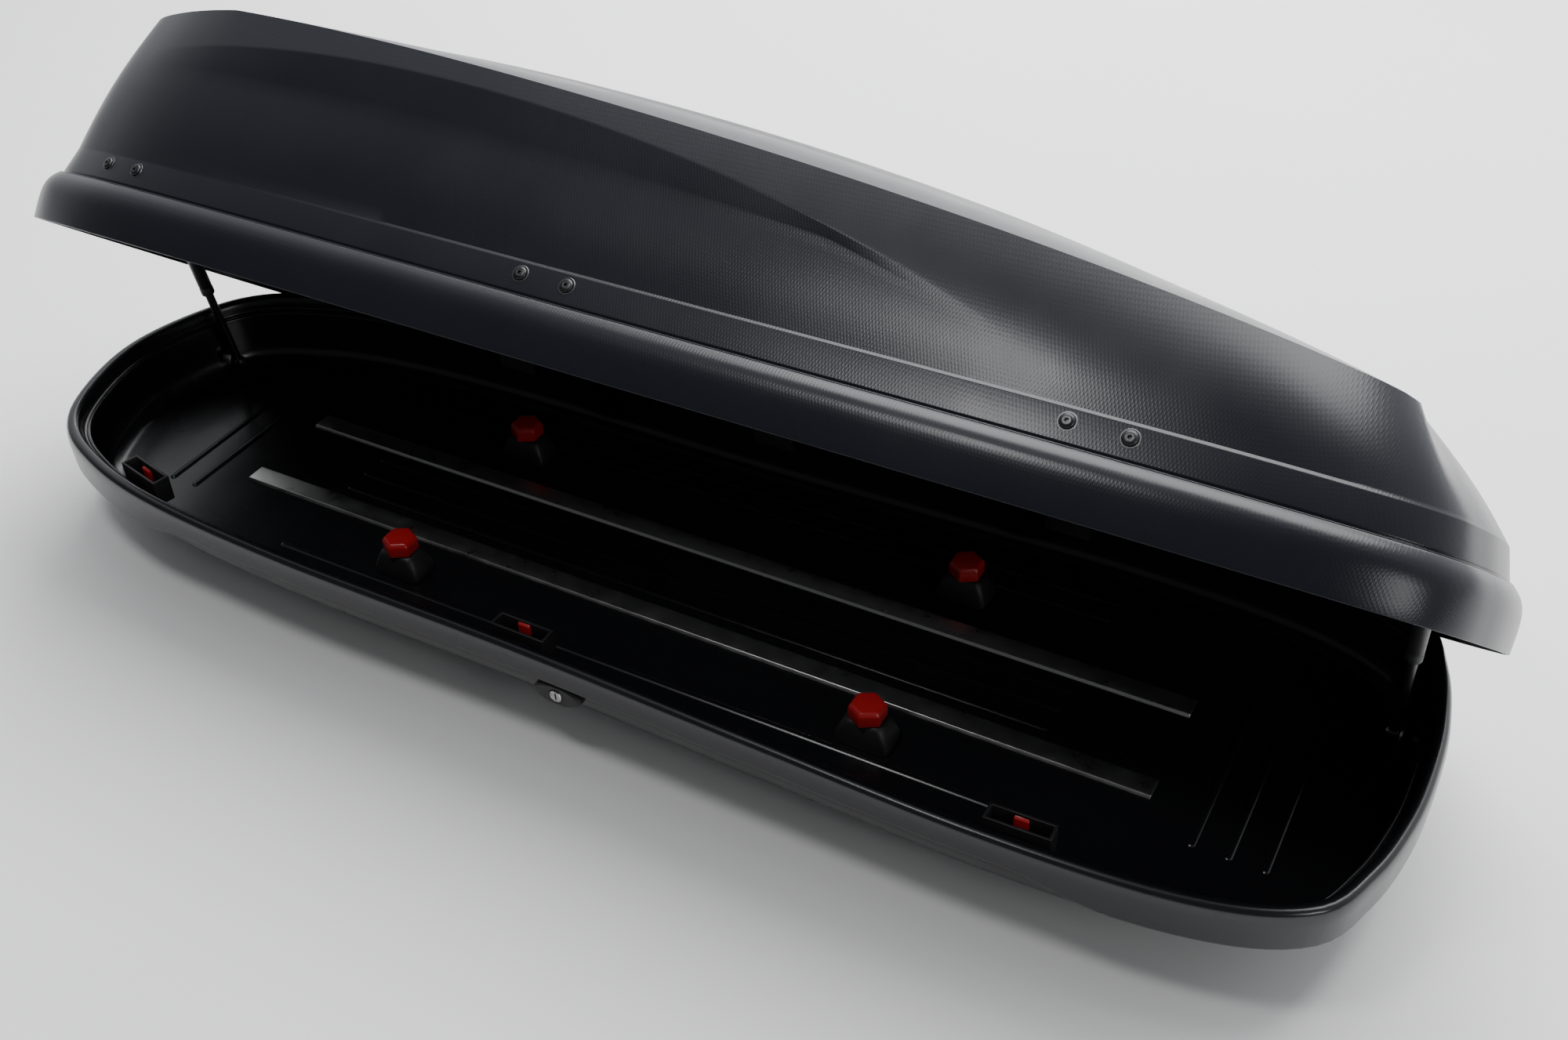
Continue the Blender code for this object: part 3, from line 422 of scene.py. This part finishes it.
def bakedMesh(piece):
    # the evaluated object as a plain mesh, with its modifiers taken off
    graph = bpy.context.evaluated_depsgraph_get()
    graph.update()
    mesh = bpy.data.meshes.new_from_object(piece.evaluated_get(graph))
    piece.modifiers.clear()
    piece.data = mesh
    return piece


# Lid shell, drawn shut and then swung open about its hinge

lid = {
    "wall": 0.003, "overhang": 0.034, "drop": 0.028, "flangeTop": 0.036, "bandTop": 0.073,
    "bandFoot": 0.0145, "bandHead": 0.005, "ledge": 0.0028, "height": 0.315, "peakX": -0.2371,
    "tailFall": 0.517, "creaseShare": 0.90, "creaseX": -0.6194, "creaseFall": 0.452, "creaseStep": 0.012,
    "inset": 0.045, "tailLean": 0.052, "bulge": 0.006, "open": 40.0,
    "bladeTop": (0.252, 0.21, -0.33),        # height, fall and middle of the blade's upper line
    "bladeFoot": (0.199, 0.055, -0.43),
    "bladeProud": 0.0036, "bladeHollow": 0.0034,
    "bladeTail": (0.44, 0.02),               # x where the blade is gone and where it is whole
    "bladeNose": (-0.78, -0.45),
    "bladeTurn": (0.35, 0.80),               # the same for how far the wall faces sideways
    "ledgeRun": (-0.70, 0.0), "ledgeLeast": 0.15, "wallStep": 0.003,
    "swageY": 0.105, "swageWidth": 0.030, "swageRise": 0.0022,
    "swageNose": (-0.66, -0.48), "swageTail": (0.56, 0.34),
}
lid["fall"] = lid["tailFall"] * lid["height"] / (halfLength - lid["peakX"]) ** 2


def roofHeight(x):
    return lid["height"] - lid["fall"] * (x - lid["peakX"]) ** 2


def creaseHeight(x):
    drop = lid["fall"] * lid["creaseFall"] * (x - lid["creaseX"]) ** 2
    return np.minimum(lid["height"] * lid["creaseShare"] - drop, roofHeight(x) - lid["creaseStep"])


def bladeLine(x, line):
    height, fall, middle = lid[line]
    return height - fall * (x - middle) ** 2


def smoothStep(value, start, end):
    t = np.clip((value - start) / (end - start), 0.0, 1.0)
    return t * t * (3 - 2 * t)


def ledgeDepth(x):
    # the step over the screw band dies away towards the nose
    least = lid["ledgeLeast"]
    return lid["ledge"] * (least + (1 - least) * smoothStep(x, *lid["ledgeRun"]))


def lidWallRows(skin):
    inset = lid["inset"] + lid["tailLean"] * np.maximum(0.0, normals[:, 0]) ** 2
    top = creaseHeight(places[:, 0] - normals[:, 0] * inset)
    x = places[:, 0]
    start = lid["bandHead"] - ledgeDepth(x)
    foot = lid["bandTop"] + lid["wallStep"]
    upper = np.clip((bladeLine(x, "bladeTop") - foot) / (top - foot), 0.20, 0.93)
    lower = np.clip((bladeLine(x, "bladeFoot") - foot) / (top - foot), 0.10, upper - 0.07)
    fade = smoothStep(x, *lid["bladeTail"]) * smoothStep(x, *lid["bladeNose"])
    fade = fade * smoothStep(np.abs(normals[:, 1]), *lid["bladeTurn"])
    rows = []
    shares = [lower * t for t in np.linspace(0.0, 1.0, 9)]
    shares += [lower + (upper - lower) * t for t in (0.15, 0.35, 0.55, 0.75, 0.90, 0.97)]
    shares += [upper] + [upper + (1 - upper) * t for t in (0.06, 0.16, 0.34, 0.55, 0.75, 0.90, 0.97, 1.0)]
    for share in shares:
        inBlade = np.clip((share - lower) / (upper - lower), 0.0, 1.0)
        above = np.clip((share - upper) / (1 - upper), 0.0, 1.0)
        below = smoothStep(share / lower, 0.25, 1.0)
        proud = -lid["bladeHollow"] * below * (1 - inBlade) + lid["bladeProud"] * inBlade * (1 - above)
        offset = start + (-inset - start) * share + lid["bulge"] * np.sin(pi * share) + proud * fade
        rows.append(rowAt(offset - skin, foot + (top - foot) * share - skin * 0.3))
    return rows, inset, top


# close together at the crease, where the roof turns over
roofShares = (0.012, 0.03, 0.06, 0.10, 0.15, 0.21, 0.28, 0.35, 0.42, 0.48, 0.54, 0.60, 0.66, 0.72, 0.79, 0.86,
              0.93, 1.0)


def lidRoofRows(inset, top, skin):
    edge = places - normals * (inset + skin)[:, None]
    top = creaseHeight(edge[:, 0])
    rows = []
    for share in roofShares:
        x = edge[:, 0] * (1 - plan["drawIn"] * share)
        y = edge[:, 1] * (1 - share)
        z = roofHeight(x) - (roofHeight(edge[:, 0]) - top) * (1 - share) ** 2
        swage = 1 - smoothStep(np.abs(np.abs(y) - lid["swageY"]), lid["swageWidth"] * 0.5, lid["swageWidth"])
        ends = smoothStep(x, *lid["swageNose"]) * smoothStep(x, *lid["swageTail"])
        z = z + lid["swageRise"] * swage * ends * smoothStep(share, 0.05, 0.15)
        rows.append(np.column_stack([x, y, plan["rimZ"] + z - skin]))
    return rows


def openedRows(rows):
    pivot = np.array(joints["lid_hinge"]["pos_m"])
    c, s = cos(radians(lid["open"])), sin(radians(lid["open"]))
    turned = []
    for row in rows:
        y, z = row[:, 1] - pivot[1], row[:, 2] - pivot[2]
        turned.append(np.column_stack([row[:, 0], pivot[1] + y * c + z * s, pivot[2] - y * s + z * c]))
    return turned


def buildLid():
    w, over, drop, top = lid["wall"], lid["overhang"], lid["drop"], lid["flangeTop"]
    foot, head, bandTop = lid["bandFoot"], lid["bandHead"], lid["bandTop"]
    ledge = ledgeDepth(places[:, 0])
    outer = roundedSection(
        [(over - w, -drop), (over, -drop), (over + 0.001, -0.004), (over + 0.0002, 0.014),
         (over - 0.0045, top - 0.009), (over - 0.0125, top), (foot + 0.0042, top + 0.0012),
         (foot + 0.0008, top - 0.0008), (foot - 0.0006, top + 0.0026), (foot, top + 0.0048),
         (head, bandTop), (head - ledge, bandTop + lid["wallStep"])],
        (0, 0.0012, 0.012, 0.012, 0.009, 0.005, 0.0012, 0.0008, 0.0008, 0.001, 0.0010, 0))
    inner = roundedSection(
        [(over - w, -drop), (over + 0.001 - w, 0.0), (over - 0.006 - w, top - 0.012),
         (over - 0.015 - w, top - w), (foot - w, top - w * 0.6), (head - w, bandTop),
         (head - ledge - w, bandTop + 0.002)],
        (0, 0.010, 0.008, 0.005, 0.003, 0.004, 0))
    outerWall, inset, crease = lidWallRows(0.0)
    innerWall, _, _ = lidWallRows(w)
    rows = inner + innerWall[1::2] + lidRoofRows(inset, crease, w)[1::2]
    rows = rows[::-1] + outer[1:] + outerWall[1:] + lidRoofRows(inset, crease, 0.0)
    mesh = loftMesh("lidShell", openedRows(rows), angle=24.0)
    return ridePiece(meshPiece("lidShell", mesh, "lidSheet"), "lid", ["lid_shell"])


buildLid()
print("lid shell made")


# Tray shell with its rolled rim, outer band and moulded floor

tray = {
    "depth": 0.100, "floor": 0.004, "bandSide": 0.034, "bandEnd": 0.054, "nearRun": (0.60, 0.74),
    "farRun": (0.93, 0.99), "wallInset": 0.012, "ledgeInset": 0.022, "ledgeDrop": 0.028, "footInset": 0.027,
    "footRise": 0.020, "lockBore": 0.0095,
}


def bandDrop():
    drop = np.full(len(places), tray["bandSide"])
    for run, side in ((tray["nearRun"], places[:, 1] <= 0), (tray["farRun"], places[:, 1] > 0)):
        share = smoothStep(np.abs(places[:, 0]) / halfLength, *run)
        drop = np.where(side, tray["bandSide"] + (tray["bandEnd"] - tray["bandSide"]) * share, drop)
    return drop


def buildTray():
    under = -tray["depth"]
    drop = bandDrop()
    wall, ledge = -tray["wallInset"], -tray["ledgeInset"]
    floorTop = under + tray["floor"]
    outer = roundedSection(
        [(-0.072, under), (-0.040, under + 0.004), (-0.021, under + 0.016), (wall, under + 0.040),
         (wall + 0.003, -drop + 0.0015), (0.0050, -drop), (0.0075, -drop + 0.004), (0.0085, -0.012),
         (0.0060, -0.001), (-0.001, 0.0022), (-0.0085, -0.0005), (-0.0115, -0.009), (-0.0130, -0.0175),
         (ledge + 0.0015, -0.0195), (ledge, -tray["ledgeDrop"]),
         (-tray["footInset"], under + tray["footRise"]),
         (-0.040, floorTop + 0.004), (-0.070, floorTop)],
        (0, 0.012, 0.012, 0.014, 0.002, 0.0015, 0.0015, 0.008, 0.005, 0.004, 0.004, 0.003, 0.002, 0.002,
         0.004, 0.012, 0.010, 0))
    floorUnder = [shrunkRow(outer[0], share, under) for share in (1.0, 0.8, 0.5, 0.2)]
    floorInside = [shrunkRow(outer[-1], share, floorTop) for share in (0.2, 0.5, 0.8, 1.0)]
    mesh = loftMesh("trayShell", floorUnder + outer + floorInside, angle=34.0)
    piece = meshPiece("trayShell", mesh, "traySheet")
    centre = Vector(joints["lock_turn"]["pos_m"])
    lockWay = Matrix.Translation(centre) @ Matrix.Rotation(pi / 2, 4, "X")
    bore = [(tray["lockBore"], -0.05), (tray["lockBore"], 0.03)]
    cutter = meshPiece("lockCutter", turnedMesh("lockCutter", bore, lockWay, 32), "traySheet")
    modifier = piece.modifiers.new("lockBore", "BOOLEAN")
    modifier.operation = "DIFFERENCE"
    modifier.solver = "EXACT"
    modifier.object = cutter
    bakedMesh(piece)
    bpy.data.objects.remove(cutter, do_unlink=True)
    piece.data.materials.clear()
    piece.data.materials.append(finishes["traySheet"])
    return ridePiece(piece, "tray", ["tray_shell"])


buildTray()
print("tray shell made")


# One node tree that sets copies of a shape on points, each turned to face its own way

def newTree(name, inputs):
    tree = bpy.data.node_groups.new(name, "GeometryNodeTree")
    tree.interface.new_socket("Geometry", in_out="INPUT", socket_type="NodeSocketGeometry")
    ids = {}
    for label, kind in inputs:
        ids[label] = tree.interface.new_socket(label, in_out="INPUT", socket_type=kind).identifier
    tree.interface.new_socket("Geometry", in_out="OUTPUT", socket_type="NodeSocketGeometry")
    return tree, ids, tree.nodes.new("NodeGroupInput"), tree.nodes.new("NodeGroupOutput")


def finishTree(tree, geometry, source, sink):
    realize = tree.nodes.new("GeometryNodeRealizeInstances")
    paint = tree.nodes.new("GeometryNodeSetMaterial")
    tree.links.new(geometry, realize.inputs["Geometry"])
    tree.links.new(realize.outputs["Geometry"], paint.inputs["Geometry"])
    tree.links.new(source.outputs["Finish"], paint.inputs["Material"])
    tree.links.new(paint.outputs["Geometry"], sink.inputs["Geometry"])


def copiesTree():
    inputs = [("Shape", "NodeSocketObject"), ("Size", "NodeSocketFloat"), ("Finish", "NodeSocketMaterial")]
    tree, ids, source, sink = newTree("copiesOnPoints", inputs)
    shape = tree.nodes.new("GeometryNodeObjectInfo")
    place = tree.nodes.new("GeometryNodeInstanceOnPoints")
    facing = tree.nodes.new("GeometryNodeInputNamedAttribute")
    facing.data_type = "FLOAT_VECTOR"
    facing.inputs["Name"].default_value = "facing"
    turn = tree.nodes.new("FunctionNodeAlignRotationToVector")
    turn.axis = "Z"
    tree.links.new(source.outputs["Shape"], shape.inputs["Object"])
    tree.links.new(next(s for s in facing.outputs if s.enabled), turn.inputs["Vector"])
    tree.links.new(source.outputs["Geometry"], place.inputs["Points"])
    tree.links.new(shape.outputs["Geometry"], place.inputs["Instance"])
    tree.links.new(turn.outputs["Rotation"], place.inputs["Rotation"])
    tree.links.new(source.outputs["Size"], place.inputs["Scale"])
    finishTree(tree, place.outputs["Instances"], source, sink)
    return tree, ids


def sweepTree():
    inputs = [("Radius", "NodeSocketFloat"), ("Sides", "NodeSocketInt"), ("Finish", "NodeSocketMaterial")]
    tree, ids, source, sink = newTree("beadOnPath", inputs)
    path = tree.nodes.new("GeometryNodeMeshToCurve")
    ring = tree.nodes.new("GeometryNodeCurvePrimitiveCircle")
    sweep = tree.nodes.new("GeometryNodeCurveToMesh")
    tree.links.new(source.outputs["Geometry"], path.inputs["Mesh"])
    tree.links.new(source.outputs["Radius"], ring.inputs["Radius"])
    tree.links.new(source.outputs["Sides"], ring.inputs["Resolution"])
    tree.links.new(path.outputs["Curve"], sweep.inputs["Curve"])
    tree.links.new(ring.outputs["Curve"], sweep.inputs["Profile Curve"])
    finishTree(tree, sweep.outputs["Mesh"], source, sink)
    return tree, ids


copies, copiesIds = copiesTree()
beads, beadsIds = sweepTree()


def setCopies(name, shapeMesh, spots, finish, body, replaced=(), size=1.0):
    # spots: pairs of place and facing
    guide = bpy.data.objects.new(name + "Shape", shapeMesh)
    bpy.context.collection.objects.link(guide)
    points = bpy.data.meshes.new(name)
    points.from_pydata([tuple(place) for place, _ in spots], [], [])
    attribute = points.attributes.new("facing", "FLOAT_VECTOR", "POINT")
    attribute.data.foreach_set("vector", [value for _, facing in spots for value in facing])
    piece = bpy.data.objects.new(name, points)
    bpy.context.collection.objects.link(piece)
    modifier = piece.modifiers.new("copies", "NODES")
    modifier.node_group = copies
    modifier[copiesIds["Shape"]] = guide
    modifier[copiesIds["Size"]] = size
    modifier[copiesIds["Finish"]] = finishes[finish]
    bakedMesh(piece)
    bpy.data.objects.remove(guide, do_unlink=True)
    return ridePiece(piece, body, replaced)


def sweepBead(name, row, radius, finish, body, sides=10):
    path = bpy.data.meshes.new(name)
    count = len(row)
    path.from_pydata([tuple(point) for point in row], [(k, (k + 1) % count) for k in range(count)], [])
    piece = bpy.data.objects.new(name, path)
    bpy.context.collection.objects.link(piece)
    modifier = piece.modifiers.new("bead", "NODES")
    modifier.node_group = beads
    modifier[beadsIds["Radius"]] = radius
    modifier[beadsIds["Sides"]] = sides
    modifier[beadsIds["Finish"]] = finishes[finish]
    bakedMesh(piece)
    piece.data.shade_smooth()
    return ridePiece(piece, body)


# Beads along the outline

beadSizes = {"rimBead": 0.0013, "lidLip": 0.0009}
sweepBead("trayLedgeBead", rowAt(-0.0172, -0.0182), beadSizes["rimBead"], "traySheet", "tray")
sweepBead("lidGrooveLip", openedRows([rowAt(lid["bandFoot"] + 0.0045, lid["flangeTop"] + 0.0010)])[0],
          beadSizes["lidLip"], "lidSheet", "lid")


# Lid screws: dome, shoulder ring and hexagon socket

screw = {"shank": 0.003, "head": 0.0078, "dome": 0.0045, "socket": 0.0023, "socketDepth": 0.0024,
         "washer": 0.0098, "sides": 36, "rise": 0.060, "sink": 0.0003}


def screwMesh():
    sides, head, socket = screw["sides"], screw["head"], screw["socket"]
    dome = [(screw["shank"], -lid["wall"]), (screw["shank"], 0.0003), (screw["washer"], 0.0003),
            (screw["washer"], 0.0009), (screw["washer"] - 0.0004, 0.0012), (head + 0.0004, 0.0012),
            (head, 0.0008), (head, 0.0020)]
    for k in range(1, 8):
        angle = radians(12 * k)
        radius = socket + 0.0008 + (head - socket - 0.0008) * cos(angle)
        dome.append((radius, 0.0020 + (screw["dome"] - 0.0020) * sin(angle)))
    rows = [[Vector((r * cos(2 * pi * k / sides), r * sin(2 * pi * k / sides), h)) for k in range(sides)]
            for r, h in dome]

    def hexagon(height):
        made = []
        for k in range(sides):
            angle = 2 * pi * k / sides
            reach = socket * cos(pi / 6) / cos((angle + pi / 6) % (pi / 3) - pi / 6)
            made.append(Vector((reach * cos(angle), reach * sin(angle), height)))
        return made
    rows += [hexagon(screw["dome"] - 0.0002), hexagon(screw["dome"] - screw["socketDepth"])]
    return loftMesh("screwShape", rows, 30.0, capped=True)


def screwSpots():
    # from the CAD screws' own boxes: their middle and the band's outward way there
    spots = []
    names = sorted(name for name in frame["nodes"] if name.startswith("lid_screw_"))
    slope = atan2(lid["bandFoot"] - lid["bandHead"], lid["bandTop"] - lid["flangeTop"])
    for name in names:
        low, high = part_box(name)
        x = (low[0] + high[0]) / 2
        near = [i for i in range(len(places)) if places[i, 1] < 0]
        best = sorted(near, key=lambda i: abs(places[i, 0] - x))[:2]
        share = (x - places[best[0], 0]) / (places[best[1], 0] - places[best[0], 0])
        place = places[best[0]] + (places[best[1]] - places[best[0]]) * share
        normal = normals[best[0]] + (normals[best[1]] - normals[best[0]]) * share
        offset = lid["bandFoot"] - tan(slope) * (screw["rise"] - lid["flangeTop"]) - screw["sink"]
        flat = place + normal * offset
        point = np.array([[flat[0], flat[1], plan["rimZ"] + screw["rise"]]])
        tip = point + np.array([[normal[0] * cos(slope), normal[1] * cos(slope), sin(slope)]]) * 0.01
        start, end = openedRows([point])[0][0], openedRows([tip])[0][0]
        spots.append((start, (end - start) / 0.01))
    return names, spots


screwNames, spots = screwSpots()
setCopies("lidScrews", screwMesh(), spots, "darkSteel", "lid", screwNames)
print("lid screws set:", len(spots))


# Floor ribs: low rounded bars moulded into the tray's floor

ribs = {"half": 0.0045, "rise": 0.0022, "long": (-0.205, -0.172, -0.035, 0.0, 0.035, 0.172, 0.205),
        "cross": (-0.745, -0.705, 0.705, 0.745, 0.785)}


def ribMesh(length):
    half, rise = ribs["half"], ribs["rise"]
    rows = []
    for inset, height in ((0.0, -0.0002), (0.0, rise * 0.35), (half * 0.35, rise * 0.85), (half * 0.7, rise)):
        row = []
        for k in range(20):
            angle = 2 * pi * (k + 0.5) / 20
            x = copysign(length / 2 - half, cos(angle)) + (half - inset) * cos(angle)
            row.append(Vector((x, (half - inset) * sin(angle), height)))
        rows.append(row)
    return loftMesh("ribShape", rows, 40.0, capped=True)


def setRibs():
    floorTop = tray["floor"]
    upright = (0.0, 0.0, 1.0)
    middle = [(Vector((0.0, y, floorTop)), upright) for y in ribs["long"]]
    setCopies("floorRibsLong", ribMesh(1.02), middle, "traySheet", "tray")
    across = ribMesh(0.26)
    across.transform(Matrix.Rotation(pi / 2, 4, "Z"))
    ends = [(Vector((x, 0.0, floorTop)), upright) for x in ribs["cross"]]
    setCopies("floorRibsCross", across, ends, "traySheet", "tray")


setRibs()
print("floor ribs set")


# Small mechanical pieces: the CAD shapes with softened edges

softening = {
    "hinge_tray_leaf": 0.0006, "hinge_lid_leaf": 0.0006, "hinge_pin": 0.0003, "stay_rod": 0.0004,
    "stay_foot": 0.0006, "stay_bracket": 0.0006, "lock_cam": 0.0004, "lock_bar": 0.0004,
    "catch_housing": 0.0009, "catch_tab": 0.0008, "lid_striker": 0.0009, "clamp_base": 0.0014,
    "clamp_claw": 0.0014, "clamp_cover": 0.0016, "clamp_knob": 0.0016, "floor_rail": 0.0009,
}


def camelName(node):
    first, *rest = node.split("_")
    return first + "".join(word.capitalize() for word in rest)


def softened(node, width):
    source = frame["nodes"][node]
    bm = bmesh.new()
    bm.from_mesh(source.data)
    bm.transform(source.matrix_world)
    bmesh.ops.remove_doubles(bm, verts=bm.verts, dist=0.00001)
    bmesh.ops.dissolve_limit(bm, angle_limit=radians(1.0), verts=bm.verts, edges=bm.edges)
    mesh = closedMesh(camelName(node), bm, 32.0)
    piece = meshPiece(camelName(node), mesh, slotFinish[nodeSlot[node]])
    bevel = piece.modifiers.new("softEdge", "BEVEL")
    bevel.width = width
    bevel.segments = 3
    bevel.limit_method = "ANGLE"
    bevel.angle_limit = radians(32.0)
    bakedMesh(piece)
    piece.data.shade_smooth()
    piece.data.set_sharp_from_angle(angle=radians(32.0))
    return piece


bodyOf = {node: body for body, members in frame["record"]["behaviour"]["bodies"].items() for node in members}
for node in sorted(frame["nodes"]):
    width = next((size for start, size in softening.items() if node.startswith(start)), None)
    if width:
        ridePiece(softened(node, width), bodyOf[node], [node])
print("small pieces softened")


# Telescopic stays: sleeve with a collar and cap, and its label

stay = {"low": 0.1303, "top": 0.3325, "inner": 0.0065, "outer": 0.0095, "labelShare": 0.74, "label": 0.034}


def stayMatrix(end):
    foot = Vector(joints["stay_swing_" + end]["pos_m"])
    way = Vector(joints["stay_slide_" + end]["axis"])
    return Matrix.Translation(foot) @ way.to_track_quat("Z", "X").to_matrix().to_4x4()


def buildStay(end):
    matrix = stayMatrix(end)
    low, top, r, hole = stay["low"], stay["top"], stay["outer"], stay["inner"]
    sleeve = [(hole, top - 0.012), (hole, low), (r - 0.0010, low), (r, low + 0.0010), (r, low + 0.011),
              (r - 0.0007, low + 0.0125), (r - 0.0007, low + 0.0140), (r - 0.0002, low + 0.0150)]
    for k in range(3):                       # grip rings near the cap
        start = top - 0.030 + k * 0.005
        sleeve += [(r - 0.0002, start), (r - 0.0010, start + 0.0008), (r - 0.0010, start + 0.0022),
                   (r - 0.0002, start + 0.0030)]
    sleeve += [(r, top - 0.012), (r, top - 0.005), (r - 0.0012, top - 0.0018), (r - 0.0040, top)]
    mesh = turnedMesh("staySleeve" + end.capitalize(), sleeve, matrix, 48)
    body = "stay_upper_" + end
    ridePiece(meshPiece(mesh.name, mesh, "blackNylon"), body, ["stay_sleeve_" + end])
    high = low + stay["labelShare"] * (top - low)
    inside, outside = r - 0.0002, r + 0.0006
    under = high - stay["label"]
    band = [(inside, under), (outside - 0.0002, under), (outside, under + 0.0003), (outside, high - 0.0003),
            (outside - 0.0002, high), (inside, high)]
    mesh = turnedMesh("stayLabel" + end.capitalize(), band, matrix, 48, closed=True)
    ridePiece(meshPiece(mesh.name, mesh, "greenLabel"), body, ["stay_label_" + end])


for end in ("front", "rear"):
    buildStay(end)
print("stays made")


# Lock: lens-shaped plate and a key cylinder with its slot

lock = {"plate": (0.033, 0.015), "back": 0.0038, "rise": 0.0075, "barrel": 0.0085, "slot": (0.0052, 0.0011),
        "sides": 64}


def buildLock():
    centre = Vector(joints["lock_turn"]["pos_m"])
    face = Matrix.Translation(centre) @ Matrix.Rotation(pi / 2, 4, "X")
    sides, back, barrel = lock["sides"], lock["back"], lock["barrel"]

    def lens(scale, height):
        made = []
        for k in range(sides):
            angle = 2 * pi * k / sides
            x = lock["plate"][0] * scale * copysign(abs(cos(angle)) ** 0.9, cos(angle))
            y = lock["plate"][1] * scale * copysign(abs(sin(angle)) ** 1.25, sin(angle))
            made.append(face @ Vector((x, y, height)))
        return made

    def ring(radius, height):
        return [face @ Vector((radius * cos(2 * pi * k / sides), radius * sin(2 * pi * k / sides), height))
                for k in range(sides)]
    rows = [lens(1.0, back - 0.003), lens(1.0, back + 0.0028)]
    rows += [lens(0.985 - 0.125 * sin(a) ** 2, back + 0.0040 + 0.0035 * sin(a)) for a in (0.3, 0.7, 1.1, 1.5)]
    rows += [ring(barrel + 0.0024, back + lock["rise"]), ring(barrel + 0.0016, back + lock["rise"] - 0.0006),
             ring(barrel + 0.0005, back + lock["rise"] - 0.0006), ring(barrel + 0.0005, back - 0.003)]
    mesh = loftMesh("lockPlate", rows, 26.0, closed=True)
    ridePiece(meshPiece("lockPlate", mesh, "blackNylon"), "tray", ["lock_escutcheon"])

    profile = [(barrel / 2, -0.0215), (barrel / 2, -0.0155), (barrel, -0.0155), (barrel, back + 0.0072),
               (barrel - 0.0006, back + 0.0086), (barrel * 0.80, back + 0.0092),
               (barrel * 0.74, back + 0.0084)]
    rows = [ring(r, h) for r, h in profile]

    def keyhole(height):
        made = []
        for k in range(sides):
            angle = 2 * pi * k / sides
            x = lock["slot"][1] * copysign(abs(cos(angle)) ** 0.4, cos(angle))
            y = lock["slot"][0] * copysign(abs(sin(angle)) ** 0.6, sin(angle))
            made.append(face @ Vector((x, y, height)))
        return made
    rows += [keyhole(back + 0.0084), keyhole(back + 0.0030)]
    mesh = loftMesh("lockBarrel", rows, 26.0, capped=True)
    ridePiece(meshPiece("lockBarrel", mesh, "zincSteel"), "lock_barrel", ["lock_cylinder"])


buildLock()
print("lock made")


# Studio: pale floor, soft lights

studio = {
    "floorDrop": 0.0005, "floorSize": 30.0, "floorColour": (0.93, 0.93, 0.93),
    "world": (0.94, 0.96, 1.0), "frontStrength": 0.10, "backStrength": 1.6,
    "lights": [("backSoftbox", (-0.3, 3.0, 2.0), (4.6, 1.6), 120.0),
               ("topSoftbox", (0.2, 2.3, 4.6), (5.0, 2.6), 360.0),
               ("bandSoftbox", (-0.35, -0.95, 2.9), (0.7, 0.5), 20.0),
               ("frontSoftbox", (3.2, -1.4, 1.6), (0.8, 1.0), 16.0)],
    "aim": (0.0, 0.0, 0.2),
}


def buildStudio():
    size = studio["floorSize"] / 2
    level = cadBox[0][2] - studio["floorDrop"]
    mesh = bpy.data.meshes.new("paleFloor")
    corners = [(-size, -size, level), (size, -size, level), (size, size, level), (-size, size, level)]
    mesh.from_pydata(corners, [], [(0, 1, 2, 3)])
    material, nodes, links, shader, coords = newMaterial("paleFloor")
    shade = addNoise(nodes, links, coords, 3.0)
    low = tuple(value * 0.97 for value in studio["floorColour"])
    links.new(mixColours(nodes, links, shade, low, studio["floorColour"]), shader.inputs["Base Color"])
    shader.inputs["Roughness"].default_value = 0.7
    mesh.materials.append(material)
    floor = bpy.data.objects.new("paleFloor", mesh)
    bpy.context.collection.objects.link(floor)
    world = bpy.data.worlds.new("studioWorld")
    world.use_nodes = True
    background = world.node_tree.nodes["Background"]
    background.inputs["Color"].default_value = (*studio["world"], 1.0)
    ways = world.node_tree.nodes.new("ShaderNodeTexCoord")
    split = world.node_tree.nodes.new("ShaderNodeSeparateXYZ")
    world.node_tree.links.new(ways.outputs["Generated"], split.inputs["Vector"])
    strength = remap(world.node_tree.nodes, world.node_tree.links, split.outputs["Y"],
                     studio["frontStrength"], studio["backStrength"], -0.25, 0.95)
    world.node_tree.links.new(strength, background.inputs["Strength"])
    bpy.context.scene.world = world
    for name, place, extent, power in studio["lights"]:
        data = bpy.data.lights.new(name, "AREA")
        data.shape = "RECTANGLE"
        data.size, data.size_y = extent
        data.energy = power
        lamp = bpy.data.objects.new(name, data)
        bpy.context.collection.objects.link(lamp)
        lamp.location = place
        lamp.rotation_euler = (Vector(studio["aim"]) - Vector(place)).to_track_quat("-Z", "Y").to_euler()


buildStudio()
print("studio lit")
